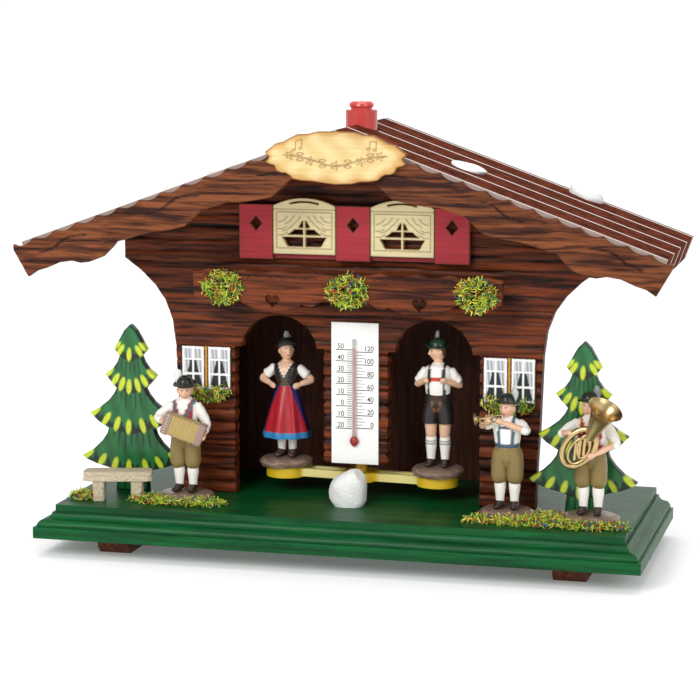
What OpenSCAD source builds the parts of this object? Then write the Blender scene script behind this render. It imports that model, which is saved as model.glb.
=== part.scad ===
// Chalet weather house: log-front house on a moulded green board, with a gut string
// and a turning carrier that swings one of two figures out through its doorway.
// Frame: X to the right seen from the front, Y to the back, Z up from the feet.

/* [Base board] */
// Width of the base board
base_w = 254; // [230:1:280]
// Depth of the base board
base_d = 104; // [90:1:120]
// Thickness of the base board
base_t = 13.2; // [10:0.1:18]
// Height of the plain lower tier
tier_t = 4.7; // [3:0.1:7]
// Setback of the upper tier behind the lower one
tier_in = 7.4; // [5:0.1:10]
// Height of the two runners under the board
foot_h = 8; // [4:0.5:14]
// Width of each runner
foot_w = 13.5; // [8:0.5:20]
// Distance of each runner from the middle
foot_x = 96.5; // [60:0.5:110]

/* [House] */
// Front face of the log front, behind the middle of the base
front_y = -5.4; // [-20:0.1:10]
// Thickness of the log front board
front_t = 6; // [4:0.5:10]
// Half width of the log front at floor level
front_w = 76.5; // [70:0.5:90]
// Half width of the room inside
room_w = 63; // [56:0.5:66]
// Thickness of the side walls
side_t = 4; // [3:0.5:6]
// Front face of the back wall
back_y = 46; // [36:0.5:50]
// Thickness of the back wall
back_t = 3; // [2:0.5:6]
// Height of one log course
log_p = 5.2; // [4:0.1:8]

/* [Doorways] */
// Half width of the post between the doorways
door_in = 14; // [12:0.5:18]
// Outer side of each doorway
door_out = 52.8; // [44:0.2:56]
// Height of the door shoulders above the floor
door_h = 63.7; // [50:0.1:70]
// Radius of the door arch
arch_r = 16.7; // [12:0.1:19]
// Height of the arch centre above the floor
arch_z = 60.9; // [50:0.1:66]
// Gap under the middle post
post_gap = 15.5; // [12:0.5:22]

/* [Roof] */
// Height of the ridge above the table
ridge_z = 179; // [160:1:200]
// Slope of each roof panel
slope = 19.78; // [15:0.01:30]
// Thickness of each roof panel
roof_t = 10; // [6:0.5:14]
// Distance from the middle to the eave
eave_x = 133.6; // [120:0.2:140]
// Front end of the roof panels
roof_y0 = -41.3; // [-46:0.1:-30]
// Back end of the roof panels
roof_y1 = 49; // [40:0.5:52]
// Pitch of the grooves along the roof
rib_p = 21.5; // [15:0.5:25]
// Thickness of the carved boards
trim_t = 3; // [2:0.5:5]

/* [Works] */
// Axis of the knob, string and carrier, behind the middle of the base
axis_y = 4.8; // [0:0.1:12]
// Distance from the axis to each figure
arm_r = 33.8; // [28:0.1:38]
// Turn of the carrier at rest
rest_a = -4.3; // [-10:0.1:10]
// Underside of the carrier above the table
beam_z = 28; // [26:0.5:32]
// Height of the carrier platforms
plat_t = 4.5; // [3:0.5:6]
// Radius of each platform
plat_r = 8.8; // [7:0.1:11]
// Radius of the spindle
spindle_r = 2; // [1.5:0.1:3]
// Radius of the gut string
gut_r = 0.5; // [0.3:0.05:0.8]

/* [Output] */
// Sub-part to draw, or all of them

/* [Hidden] */
$fn = 48;
floor_z = foot_h + base_t;
roof_k = tan(slope);
under_z = ridge_z - roof_t / cos(slope);
seat_z = ridge_z - 3;
panel_l = eave_x / cos(slope);
groove_w = 1.6;
groove_d = 2;
knob_r = 6.6;
fit_gap = 0.05;
run_gap = 0.3;
plat_z = beam_z + plat_t;
stem_z = 54;
spindle_z = 148;
stone_r = 11.8;
leafs = [[0, 0, 0], [6, -1, 2], [-6, 1, -2], [3, 3, -5], [-3, -3, 5]];

// Flat outline in the X-Z plane given depth t behind plane y
module board(y, t) translate([0, y + t, 0]) rotate([90, 0, 0]) linear_extrude(t) children();

module both() {
  children();
  mirror([1, 0]) children();
}

// Right half of an outline, from its lowest to its highest point, made whole
function whole(p) = concat(p, [for (i = [len(p) - 1 : -1 : 0]) if (p[i][0] > 0)
  [-p[i][0], p[i][1]]]);

// Rod between two points
module limb(a, b, r) {
  d = b - a;
  translate(a) rotate([0, acos(d[2] / norm(d)), atan2(d[1], d[0])])
    cylinder(r = r, h = norm(d), $fn = 12);
}

// Stepped edge moulding: tier, bead, cove and top, u measured in from the edge
module mould_profile(w) {
  square([w, tier_t]);
  translate([3.8, 0]) square([w - 3.8, 7.6]);
  translate([3.8, 5]) circle(2.6);
  difference() {
    translate([3.8, 7.5]) square([w - 3.8, 2.7]);
    translate([3.8, 10.2]) circle(2.5);
  }
  translate([tier_in, 0]) square([w - tier_in, base_t]);
}

module base_board() color("darkgreen") translate([0, 0, foot_h]) intersection() {
  translate([-base_w / 2, -base_d / 2, 0]) rotate([90, 0, 90])
    linear_extrude(base_w) mould_profile(base_d);
  translate([0, base_d / 2, 0]) rotate([90, 0, 0]) linear_extrude(base_d)
    both() translate([-base_w / 2, 0]) mould_profile(base_w / 2 + 1);
}

module foot(x) color("saddlebrown") translate([x - foot_w / 2, 0, 0]) rotate([90, 0, 90])
  linear_extrude(foot_w) polygon([[-36, 0], [36, 0], [39, 3], [39, foot_h],
    [-39, foot_h], [-39, 3]]);
module foot_left() foot(-foot_x);
module foot_right() foot(foot_x);

module door_shape() {
  translate([door_in, -1]) square([door_out - door_in, door_h + 1]);
  translate([(door_in + door_out) / 2, arch_z]) circle(arch_r);
}

module facade() color("saddlebrown") difference() {
  board(front_y, front_t) difference() {
    polygon(whole([[front_w, floor_z], [77.2, 41], [78, 54], [79.1, 85], [80.5, 95.5],
      [83.5, 103.5], [88, 110], [94.5, 116.3], [101.5, 121.3],
      [101.5, under_z - 101.5 * roof_k], [0, under_z]]));
    translate([0, floor_z]) both() door_shape();
    translate([-door_out, floor_z - 1]) square([2 * door_out, post_gap + 1]);
  }
  for (i = [1 : 26]) translate([-110, front_y - 1, floor_z + i * log_p])
    cube([220, 1.5, 0.7]);
}

module wall(s) color("sienna") board(front_y + front_t, back_y - front_y - front_t)
  scale([s, 1]) polygon([[room_w, floor_z], [room_w + side_t, floor_z],
    [room_w + side_t, under_z - (room_w + side_t) * roof_k], [room_w, under_z - room_w * roof_k]]);
module wall_left() mirror([1, 0, 0]) wall(1);
module wall_right() wall(1);

module back_wall() color("sienna") board(back_y, back_t)
  polygon(whole([[room_w + side_t, floor_z],
    [room_w + side_t, under_z - (room_w + side_t) * roof_k], [0, under_z]]));

module ridge_block() color("tan") difference() {
  board(front_y + front_t, 18)
    polygon(whole([[12, 152], [12, under_z - 12 * roof_k], [0, under_z]]));
  translate([0, axis_y, 150]) cylinder(r = spindle_r + fit_gap, h = 20);
}

module roof_panel() difference() {
  translate([0, roof_y0, ridge_z]) rotate([0, slope, 0]) difference() {
    translate([-10, 0, -roof_t]) cube([panel_l + 10, roof_y1 - roof_y0, roof_t]);
    for (i = [1 : 3]) translate([-11, i * rib_p, -groove_d])
      cube([panel_l + 12, groove_w, groove_d + 1]);
  }
  translate([-40, -60, 120]) cube([40, 120, 80]);
  translate([0, axis_y, seat_z]) cylinder(r = knob_r + 1, h = 10);
  translate([0, axis_y, 160]) cylinder(r = spindle_r + 0.6, h = 20);
}
module roof_right() color("firebrick") roof_panel();
module roof_left() color("firebrick") mirror([1, 0, 0]) roof_panel();

module barge() color("peru") board(roof_y0 - trim_t, trim_t) difference() {
  polygon([[0, ridge_z], [136.4, ridge_z - 136.4 * roof_k], [136, 127.6], [129.8, 116.9],
    [122, 120.3], [116, 123.2], [110.5, 124], [102.8, 123.8], [97, 126.1], [93, 130],
    [91, 132.5], [83.5, 134.5], [76, 136.7], [68.5, 137.7], [61.5, 139.5], [57, 143.5],
    [54.5, 146], [49, 147.6], [43.5, 149.4], [38.5, 149.6], [31, 150.8], [25, 152],
    [20, 156.5], [17.5, 159], [8, 164], [0, 166]]);
  translate([0, ridge_z]) rotate(-slope) for (i = [0 : 14])
    translate([i * 9.9 + 2, 6.5]) circle(8.2);
}
module barge_right() barge();
module barge_left() mirror([1, 0, 0]) barge();

module sign_board() color("wheat") translate([2.3, 0, 0])
  board(roof_y0 - trim_t - 2.5, 2.5)
    polygon(whole([[6.8, 158.2], [10.2, 159.1], [17.3, 159.8], [20.4, 162.1],
      [24.2, 163], [25.1, 165], [28.8, 166.4], [27.3, 168.5], [28.9, 170.4],
      [24.5, 173.8], [18.8, 176], [15.8, 177.5], [7.7, 178.7]]));

module window_strip() color("brown") board(front_y - 2, 2)
  translate([-48.6, 123.2]) square([97.2, 21.6]);

module shutter(x) color("crimson") board(front_y - 4.3, 2.3) difference() {
  translate([x - 7.3, 122.9]) square([14.6, 23]);
  translate([x, 138]) scale([0.84, 1]) rotate(45) square(4.3, center = true);
}
module shutter_left() shutter(-41.8);
module shutter_mid() shutter(0);
module shutter_right() shutter(41.8);

module fret_window(x) color("wheat") board(front_y - 4.3, 2.3) translate([x, 0]) difference() {
  union() {
    translate([-13.4, 125.3]) square([26.8, 19.8]);
    intersection() {
      translate([0, 119.5]) circle(29.3);
      translate([-13.4, 145]) square([26.8, 6]);
    }
  }
  for (s = [-1, 1]) {
    translate([s * 5.6 - 4.6, 133]) square([9.2, 5]);
    translate([s * 5.6 - 4.6, 128.4]) square([9.2, 3]);
  }
}
module window_left() fret_window(-20.9);
module window_right() fret_window(20.9);

module heart(x) translate([x, 105.4]) {
  rotate(45) square(3.9);
  for (s = [-1, 1]) translate([s * 1.5, 4.1]) circle(1.75);
}

module balcony_front() color("peru") board(-22.5, trim_t) difference() {
  polygon(whole([[0, 109.6], [8, 108.6], [14, 105], [18.5, 106], [25, 103.2], [31, 102.3],
    [37, 103.2], [44, 106], [50, 109.5], [58, 107], [65, 108.5], [65.5, 120]]));
  both() heart(31.1);
}

module balcony_floor() color("sienna") board(-19.5, front_y + 19.5)
  translate([-62, 111]) square([124, 3]);

// Bunch of dyed wood shavings as a low rounded heap
module bunch(x, y, z, w) color("olivedrab") translate([x, y, z]) intersection() {
  translate([-w, -5, -w]) cube([2 * w, 5, 2 * w]);
  for (p = leafs) translate([p[0] * w / 9, p[1] / 4, p[2] * w / 12]) sphere(w / 2);
}
module flowers_left() bunch(-52.2, -22.5, 112.3, 9);
module flowers_mid() bunch(1.2, -22.5, 112.3, 9);
module flowers_right() bunch(54.8, -22.5, 112.3, 9);

module pane(x) color("white") board(front_y - 0.6, 0.6)
  translate([x - 11.2, 58.5]) square([22.4, 26]);
module pane_left() pane(-65.4);
module pane_right() pane(65.4);

module sill_bunch(x) color("olivedrab") translate([x, front_y - 0.6, 64.2]) intersection() {
  translate([-12.3, -6.5, -6.5]) cube([24.6, 6.5, 13]);
  for (i = [-1 : 1]) translate([i * 6.6, 0, i * i]) sphere(6.4);
}
module pane_flowers_left() sill_bunch(-65);
module pane_flowers_right() sill_bunch(65);

module thermo_card() color("white") translate([-10.1, front_y - 1.4, 37.1])
  cube([20.2, 1.4, 59.9]);

module thermo_tube() color("red") translate([0, front_y - 1.4, 47]) intersection() {
  union() {
    cylinder(r = 0.8, h = 43.3);
    sphere(2);
  }
  translate([-3, -3, -3]) cube([6, 3, 60]);
}

// Bent wire loop behind the middle post that keeps the carrier stem from swinging
module guide_staple() color("silver") {
  for (s = [-1, 1]) translate([s * 4 - 0.4, front_y + front_t, 47.6])
    cube([0.8, axis_y + 4 - front_y - front_t, 0.8]);
  translate([-4.4, axis_y + 3.2, 47.6]) cube([8.8, 0.8, 0.8]);
}

module tree(x) color("forestgreen") board(-10.4, 4) translate([x, floor_z])
  polygon(whole([[4.2, 0], [4, 8], [12, 7.6], [23, 13.6], [11, 25.8], [19, 32.2],
    [7.5, 43.6], [12.3, 49.9], [4.8, 57.3], [7.5, 61.7], [0, 72]]));
module tree_left() tree(-98);
module tree_right() tree(97);

module bench() color("tan") translate([-97.5, -28.5, floor_z]) rotate(14) {
  translate([-14.6, -5, 8.4]) cube([29.2, 10, 4.4]);
  for (s = [-1, 1]) translate([s * 8 - 2.4, -4, 0]) cube([4.8, 8, 8.4]);
}

module white_rock() color("white") translate([-0.8, -14.9, floor_z]) rotate([0, 0, 10]) {
  cylinder(r = 6.6, h = 6, $fn = 7);
  translate([0.6, 0, 0]) cylinder(r1 = 6.6, r2 = 3.6, h = 15.4, $fn = 6);
  translate([-3.4, 0, 0]) cylinder(r = 5.3, h = 9, $fn = 6);
}

module roof_stone(x, y, w, t) color("white") translate([x, y, ridge_z - x * roof_k])
  rotate([0, slope, 0]) {
    translate([-w / 5, 0, 0]) cylinder(r1 = w / 2, r2 = w / 2.6, h = t, $fn = 9);
    translate([w / 5, 0.6, 0]) cylinder(r1 = w / 2.2, r2 = w / 2.8, h = t * 0.8, $fn = 8);
  }
module roof_stone_a() roof_stone(47.6, -7.5, 11, 3);
module roof_stone_b() roof_stone(88.6, 39.5, 10.5, 6);
module roof_stone_c() mirror([1, 0, 0]) roof_stone(56, -8, 11, 3);
module roof_stone_d() mirror([1, 0, 0]) roof_stone(92, 34, 10.5, 5);

// Low heap of shavings glued to the floor
module heap(x, y, w, d, t) translate([x, y, floor_z]) linear_extrude(t)
  polygon([[-w / 2, 0], [-w / 3, -d * 0.4], [0, -d / 2], [w / 3, -d * 0.35], [w / 2, 0],
    [w / 2.6, d * 0.45], [0, d / 2], [-w / 2.4, d * 0.4]]);
// Room in a heap for the stone under a figure
module stone_room(x, y) translate([x, y, floor_z - 1]) cylinder(r = stone_r + 0.1, h = 9, $fn = 11);
module grass_left() color("olivedrab") difference() {
  union() {
    heap(-112.3, -30, 12, 9, 5);
    heap(-71, -30.5, 40, 9, 4.5);
  }
  stone_room(-69.8, -21.4);
  translate([-97.5, -28.5, floor_z]) rotate(14) cube([21.2, 8.4, 20], center = true);
}
module grass_right() color("olivedrab") difference() {
  heap(86, -31, 62, 13, 4.5);
  stone_room(67.6, -20);
  stone_room(102.3, -22.3);
}

// Standing figure on a stone, feet at the origin; arms are lists of joints
module person(h, hip_z, skirt_r, arms) {
  $fn = 12;
  k = h / 54;
  translate([0, 0, -3.8]) cylinder(r = stone_r, h = 3.8, $fn = 11);
  for (s = [-1, 1]) {
    translate([s * 3 - 1.9, -5.4, -0.1]) cube([3.8, 8, 2.6]);
    translate([s * 3, 0, 1]) cylinder(r = 2.1, h = hip_z);
  }
  rotate_extrude() polygon([[0, hip_z], [skirt_r, hip_z], [4.2, 31 * k], [6.2, 38 * k],
    [5, 41.5 * k], [1.9, 42.5 * k], [2.2, 44 * k], [3.9, 45.6 * k], [3.9, 48 * k],
    [5.4, 48.2 * k], [4, 50 * k], [2.4, 52.6 * k], [0, 52.8 * k]]);
  translate([1.6, 1.2, 50 * k]) cylinder(r = 1.3, h = 3.8 * k);
  for (a = arms) for (i = [0 : len(a) - 2]) limb(a[i], a[i + 1], 1.9);
}

module on_arm(a) translate([0, axis_y, plat_z + 3.8]) rotate(rest_a)
  translate([a * arm_r, 0, 0]) rotate(-rest_a) children();

module figure_woman() color("crimson") on_arm(-1)
  person(54, 8, 10.6, [[[-5.6, 0.4, 38.3], [-10.6, 1.1, 33.2], [-4.6, -1.4, 31.6]],
    [[5.6, 0.4, 38.3], [10.6, 1.1, 33.2], [4.6, -1.4, 31.6]]]);

module figure_man() color("dimgray") on_arm(1)
  person(55.5, 18.4, 5.6, [[[-5, 0, 40], [-8.6, -1, 34], [-5.6, -5, 38]],
    [[5, 0, 40], [8.6, 1, 34], [2, -5, 38]]]);

module place(x, y) translate([x, y, floor_z + 3.8]) children();

module accordion_player() color("darkkhaki") place(-69.8, -21.4) {
  person(53, 20, 5.6, [[[-5, 0, 38], [-9, -3, 32], [-9, -8, 29]],
    [[5, 0, 38], [9, -2, 32], [9.5, -8, 28]]]);
  translate([1.8, -7.6, 28.6]) rotate([0, 14, 0]) cube([18, 7, 9.4], center = true);
}

module trumpet_player() color("darkkhaki") place(67.6, -20) {
  person(51, 19, 5.6, [[[-5, 0, 37], [-8.6, -4, 36], [-6.6, -8, 39]],
    [[5, 0, 37], [9, -4, 34], [3, -8.4, 36]]]);
  limb([1, -6, 41], [-9, -8.6, 39.4], 1.15);
  translate([-9, -8.6, 39.4]) rotate([0, -96, 14]) cylinder(r1 = 1.3, r2 = 3, h = 3, $fn = 12);
}

module tuba_player() color("darkkhaki") place(102.3, -22.3) {
  person(54, 20, 5.6, [[[-5, 0, 38], [-9, -4, 32], [-4, -8.4, 31]],
    [[5, 0, 38], [9.4, -2, 32], [7, -8, 27]]]);
  limb([3, -7.6, 22], [4.6, -6.4, 40], 2.8);
  limb([-2.6, -7.8, 24], [-4.8, -7.4, 38], 1.6);
  translate([4.4, -6.4, 38]) rotate([0, 8, 0])
    cylinder(r1 = 3, r2 = 7.4, h = 13, $fn = 12);
}

module chimney_knob() color("red") translate([0, axis_y, 0]) difference() {
  union() {
    translate([0, 0, seat_z + run_gap]) cylinder(r = knob_r, h = 8.5);
    translate([0, 0, seat_z + 8]) cylinder(r = 4.4, h = 2.4);
    translate([0, 0, seat_z + 9.8]) rotate_extrude()
      polygon([[0, 0], [4.7, 0], [5.2, 0.6], [5, 1.6], [4.2, 2.4], [0, 2.8]]);
  }
  translate([0, 0, seat_z - 1]) cylinder(r = spindle_r, h = 8);
}

module spindle() color("goldenrod") translate([0, axis_y, 0]) difference() {
  translate([0, 0, spindle_z]) cylinder(r = spindle_r, h = seat_z + 7 - spindle_z);
  translate([0, 0, spindle_z - 1]) cylinder(r = gut_r + fit_gap, h = 9);
}

module gut_string() color("khaki") translate([0, axis_y, stem_z - 8])
  cylinder(r = gut_r, h = spindle_z + 8 - stem_z + 7);

module carrier() color("gold") translate([0, axis_y, beam_z]) rotate(rest_a) {
  difference() {
    union() {
      cylinder(r = 7.3, h = 3.9);
      cylinder(r = 2.5, h = stem_z - beam_z);
      for (s = [-1, 1]) {
        translate([s * arm_r, 0, 0]) cylinder(r = plat_r, h = plat_t);
        translate([-arm_r, s * 3 - 1, 0.5]) cube([2 * arm_r, 2, 3.4]);
      }
    }
    translate([0, 0, stem_z - beam_z - 9]) cylinder(r = gut_r + fit_gap, h = 10);
  }
}

base_board();
foot_left();
foot_right();
facade();
wall_left();
wall_right();
back_wall();
ridge_block();
roof_left();
roof_right();
barge_left();
barge_right();
sign_board();
window_strip();
shutter_left();
shutter_mid();
shutter_right();
window_left();
window_right();
balcony_front();
balcony_floor();
flowers_left();
flowers_mid();
flowers_right();
pane_left();
pane_right();
pane_flowers_left();
pane_flowers_right();
thermo_card();
thermo_tube();
guide_staple();
tree_left();
tree_right();
bench();
white_rock();
roof_stone_a();
roof_stone_b();
roof_stone_c();
roof_stone_d();
grass_left();
grass_right();
accordion_player();
trumpet_player();
tuba_player();
chimney_knob();
spindle();
gut_string();
carrier();
figure_woman();
figure_man();
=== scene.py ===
"""Looks of a chalet weather house: a log-front house on a moulded green board, five painted figures,
and a turning carrier that swings two of them out and in. Sizes in the sections are millimetres."""

import math

import bmesh
import bpy
import numpy as np
from mathutils import Matrix, Vector, geometry


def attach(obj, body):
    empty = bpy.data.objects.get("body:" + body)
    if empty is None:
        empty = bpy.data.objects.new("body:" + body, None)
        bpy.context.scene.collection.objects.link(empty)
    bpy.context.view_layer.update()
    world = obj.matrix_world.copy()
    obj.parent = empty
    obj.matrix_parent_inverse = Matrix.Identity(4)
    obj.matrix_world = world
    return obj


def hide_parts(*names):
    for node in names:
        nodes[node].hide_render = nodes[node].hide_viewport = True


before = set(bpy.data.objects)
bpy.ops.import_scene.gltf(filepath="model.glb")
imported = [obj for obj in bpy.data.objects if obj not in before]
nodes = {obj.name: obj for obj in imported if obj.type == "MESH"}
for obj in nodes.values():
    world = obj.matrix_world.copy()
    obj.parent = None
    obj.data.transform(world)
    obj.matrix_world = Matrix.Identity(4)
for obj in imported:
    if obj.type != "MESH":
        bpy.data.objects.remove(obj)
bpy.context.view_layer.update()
MM = 0.001

# Studio: a pale seamless sweep of paper, three broad soft lights and a camera to the right
# of the house, a little above it.
camera_place = Vector((0.243919, -0.950180, 0.237793))
yaw, pitch, roll = (math.radians(angle) for angle in (14.6121, 8.8814, -0.0422))
ahead = Vector((-math.sin(yaw) * math.cos(pitch), math.cos(yaw) * math.cos(pitch), -math.sin(pitch)))
level = Vector((math.cos(yaw), math.sin(yaw), 0))
upward = level.cross(ahead)
right = level * math.cos(roll) + upward * math.sin(roll)
up = upward * math.cos(roll) - level * math.sin(roll)
camera_data = bpy.data.cameras.new("camera")
camera_data.sensor_width = 36
camera_data.lens = 121.62
camera = bpy.data.objects.new("camera", camera_data)
camera.matrix_world = Matrix.Translation(camera_place) @ Matrix((right, up, -ahead)).transposed().to_4x4()
bpy.context.scene.collection.objects.link(camera)
bpy.context.scene.camera = camera
bpy.context.scene.view_settings.view_transform = "Standard"


def linear(code):
    """sRGB hex code to linear red, green, blue: each channel c is c/12.92 when small, or ((c + 0.055)/1.055)^2.4."""
    value = np.array([int(code[i : i + 2], 16) / 255 for i in (1, 3, 5)])
    return np.where(value <= 0.04045, value / 12.92, ((value + 0.055) / 1.055) ** 2.4)


def rgba(code):
    """The same colour as the four numbers a socket takes."""
    return (*linear(code), 1.0)


def add(material, kind, settings=None, inputs=None):
    """Adds one node, sets its settings, and gives each named input a value or a link."""
    made = material.node_tree.nodes.new("ShaderNode" + kind)
    for name, value in (settings or {}).items():
        setattr(made, name, value)
    for name, value in (inputs or {}).items():
        if isinstance(value, bpy.types.NodeSocket):
            material.node_tree.links.new(value, made.inputs[name])
        else:
            made.inputs[name].default_value = value
    return made


def new_material(name, **sockets):
    """A material of one Principled shader, with underscores in the words standing for spaces in its sockets."""
    material = bpy.data.materials.new(name)
    material.use_nodes = True
    shader = material.node_tree.nodes["Principled BSDF"]
    for word, value in sockets.items():
        shader.inputs[word.replace("_", " ")].default_value = value
    return material, shader


paper, paper_shader = new_material("matt_white_paper", Base_Color=rgba("#fdfdfd"), Roughness=0.9,
                                   Emission_Color=rgba("#ffffff"), Emission_Strength=0.12)
paper_grain = add(paper, "TexNoise", inputs={"Scale": 400.0, "Detail": 2.0})
paper_bump = add(paper, "Bump", inputs={"Strength": 0.05, "Distance": 0.0001, "Height": paper_grain.outputs["Fac"]})
paper.node_tree.links.new(paper_bump.outputs["Normal"], paper_shader.inputs["Normal"])

# The sweep's section in metres: flat on the table, a quarter round of 0.5, then upright.
bend = np.linspace(0, math.pi / 2, 24)
sweep_y = np.concatenate([[-2.5], 0.7 + 0.5 * np.sin(bend), [1.2]])
sweep_z = np.concatenate([[0], 0.5 - 0.5 * np.cos(bend), [2.5]])
sweep_points = np.array([[x, y, z] for x in (-3, 3) for y, z in zip(sweep_y, sweep_z)])
half = len(sweep_y)
sweep_mesh = bpy.data.meshes.new("sweep")
sweep_mesh.from_pydata(sweep_points.tolist(), [], [(i, half + i, half + i + 1, i + 1) for i in range(half - 1)])
sweep_mesh.shade_smooth()
sweep_mesh.materials.append(paper)
sweep = bpy.data.objects.new("sweep", sweep_mesh)
bpy.context.scene.collection.objects.link(sweep)

world = bpy.data.worlds.new("soft_white_room")
world.use_nodes = True
world.node_tree.nodes["Background"].inputs["Color"].default_value = (1, 1, 1, 1)
world.node_tree.nodes["Background"].inputs["Strength"].default_value = 0.52
bpy.context.scene.world = world
for lamp_name, lamp_place, lamp_size, lamp_power in (
    ("key_light", (-0.35, -1.1, 0.75), 0.6, 9.5),
    ("side_light", (0.9, -0.6, 0.5), 0.5, 2.6),
    ("top_light", (0.0, 0.1, 1.2), 0.8, 5.5),
):
    lamp_data = bpy.data.lights.new(lamp_name, "AREA")
    lamp_data.size = lamp_size
    lamp_data.energy = lamp_power
    lamp = bpy.data.objects.new(lamp_name, lamp_data)
    lamp.location = lamp_place
    lamp.rotation_euler = (Vector((0, 0, 0.08)) - lamp.location).to_track_quat("-Z", "Y").to_euler()
    bpy.context.scene.collection.objects.link(lamp)

# Base board: one spruce board with a moulded front and ends, stained deep green and varnished.
# The grain shows through the stain, and the mouldings catch a soft shine.


def stained_wood(name, pale, dark, along, width, roughness, coat=0.0, contrast=1.0, groove=None, relief=0.12):
    """Stained timber: two noises drawn out along the grain, a broad one for figure and one four times finer for
    pores, mix the dark and the pale stain and raise the surface. width is the breadth of a streak in mm, along the
    axis of the grain, and groove an attribute that darkens the cuts; on the log front it paints shade into the joints."""
    material, shader = new_material(name, Roughness=roughness, Specular_IOR_Level=0.12, Coat_Weight=coat,
                                    Coat_Roughness=0.3)
    stretch = np.full(3, 1 / (width * MM))
    stretch["XYZ".index(along)] /= 16
    place = add(material, "TexCoord").outputs["Object"]
    grain = add(material, "Mapping", inputs={"Vector": place, "Scale": tuple(stretch)}).outputs["Vector"]
    figure = add(material, "TexNoise", inputs={"Vector": grain, "Scale": 0.55, "Detail": 5.0, "Distortion": 0.7})
    pores = add(material, "TexNoise", inputs={"Vector": grain, "Scale": 2.6, "Detail": 3.0})
    share = add(material, "MapRange", inputs={
        "Value": figure.outputs["Fac"], "From Min": 0.5 - 0.17 / contrast, "From Max": 0.5 + 0.17 / contrast})
    stain = add(material, "Mix", {"data_type": "RGBA"}, {0: share.outputs[0], 6: rgba(dark), 7: rgba(pale)})
    pore_share = add(material, "MapRange", inputs={
        "Value": pores.outputs["Fac"], "From Min": 0.52, "From Max": 0.72, "To Max": 0.6})
    colour = add(material, "Mix", {"data_type": "RGBA"}, {0: pore_share.outputs[0], 6: stain.outputs[2], 7: rgba(dark)})
    colour = colour.outputs[2]
    # Where the groove attribute is set, the colour falls to a fifth of the dark stain; on the log front that is painted
    # shade in the joints.
    if groove:
        cut = add(material, "Attribute", {"attribute_name": groove})
        colour = add(material, "Mix", {"data_type": "RGBA"}, {
            0: cut.outputs["Fac"], 6: colour, 7: tuple(0.22 * linear(dark)) + (1.0,)}).outputs[2]
    height = add(material, "Math", {"operation": "ADD"}, {0: figure.outputs["Fac"], 1: pores.outputs["Fac"]})
    bump = add(material, "Bump", inputs={"Strength": 0.5, "Distance": relief * MM, "Height": height.outputs[0]})
    material.node_tree.links.new(colour, shader.inputs["Base Color"])
    material.node_tree.links.new(bump.outputs["Normal"], shader.inputs["Normal"])
    return material


def dress(node, material):
    """Gives a CAD node its finish."""
    nodes[node].data.materials.clear()
    nodes[node].data.materials.append(material)


green_stain = stained_wood("green_stained_spruce", "#05602d", "#023215", "X", 1.6, 0.42, coat=0.14, contrast=0.8)
dress("base_board", green_stain)

# Two runners under the board: beech strips with sawn, chamfered ends, stained brown.
# They run front to back, and so does their grain.
runner_stain = stained_wood("brown_stained_beech", "#7a4530", "#4a261a", "Y", 1.2, 0.5)
for runner in ("foot_left", "foot_right"):
    dress(runner, runner_stain)

# Log front: a 6 mm board milled into rounded log courses and scorched dark brown.
# Two arched doorways are cut through it, and a post hangs between them.
floor_z = 21.2
log_pitch = 5.2
ridge_z = 179.0
roof_angle = math.radians(19.78)
roof_fall = math.tan(roof_angle)
under_z = ridge_z - 10 / math.cos(roof_angle)


def resample(loop, step):
    """Points along a closed outline every step or less, with its own corners kept."""
    loop = np.asarray(loop, float)
    runs = [a + (b - a) * np.linspace(0, 1, max(1, math.ceil(np.linalg.norm(b - a) / step)), endpoint=False)[:, None]
            for a, b in zip(loop, np.roll(loop, -1, 0))]
    return np.concatenate(runs)


def inside(points, loops):
    """True where a point is within the outlines: the edges crossed on the way right are odd in number."""
    crossed = np.zeros(len(points), int)
    x, z = points[:, 0], points[:, 1]
    for loop in loops:
        for a, b in zip(loop, np.roll(loop, -1, 0)):
            if a[1] != b[1]:
                passes = (a[1] > z) != (b[1] > z)
                crossed += passes & (x < a[0] + (z - a[1]) * (b[0] - a[0]) / (b[1] - a[1]))
    return crossed % 2 == 1


def line_distance(points, line, closed=False):
    """Distance of each point from a polyline: the least of its distances to the segments."""
    line = np.asarray(line, float)
    ends = np.roll(line, -1, 0) if closed else line[1:]
    best = np.full(len(points), np.inf)
    for a, b in zip(line, ends):
        way = b - a
        share = np.clip((points - a) @ way / max(way @ way, 1e-12), 0, 1)
        best = np.minimum(best, np.linalg.norm(points - a - share[:, None] * way, axis=1))
    return best


def arc(centre, radius, start, end, count=24):
    """Points on a circle between two angles in degrees."""
    angle = np.radians(np.linspace(start, end, count))
    return np.stack([centre[0] + radius * np.cos(angle), centre[1] + radius * np.sin(angle)], 1)


def mirrored(half_outline):
    """A right half outline, from its lowest point to its highest, made whole."""
    half_outline = np.asarray(half_outline, float)
    other = half_outline[::-1][half_outline[::-1, 0] > 0] * [-1, 1]
    return np.concatenate([half_outline, other])


def new_piece(name, points, faces, material, body, replaces, values=None, paint=None, sharp=35):
    """Puts points in mm and faces into a mesh that rides on a body and stands for CAD nodes."""
    mesh = bpy.data.meshes.new(name)
    mesh.from_pydata((np.asarray(points) * MM).tolist(), [], [list(map(int, face)) for face in faces])
    for word, numbers in (values or {}).items():
        mesh.attributes.new(word, "FLOAT", "POINT").data.foreach_set("value", np.asarray(numbers, np.float32))
    if paint is not None:
        colours = np.concatenate([paint, np.ones((len(paint), 1))], 1).astype(np.float32)
        mesh.attributes.new("paint", "FLOAT_COLOR", "POINT").data.foreach_set("color", colours.ravel())
    mesh.shade_smooth()
    mesh.set_sharp_from_angle(angle=math.radians(sharp))
    mesh.materials.append(material)
    piece = bpy.data.objects.new(name, mesh)
    bpy.context.scene.collection.objects.link(piece)
    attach(piece, body)
    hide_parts(*replaces)
    return piece


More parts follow.
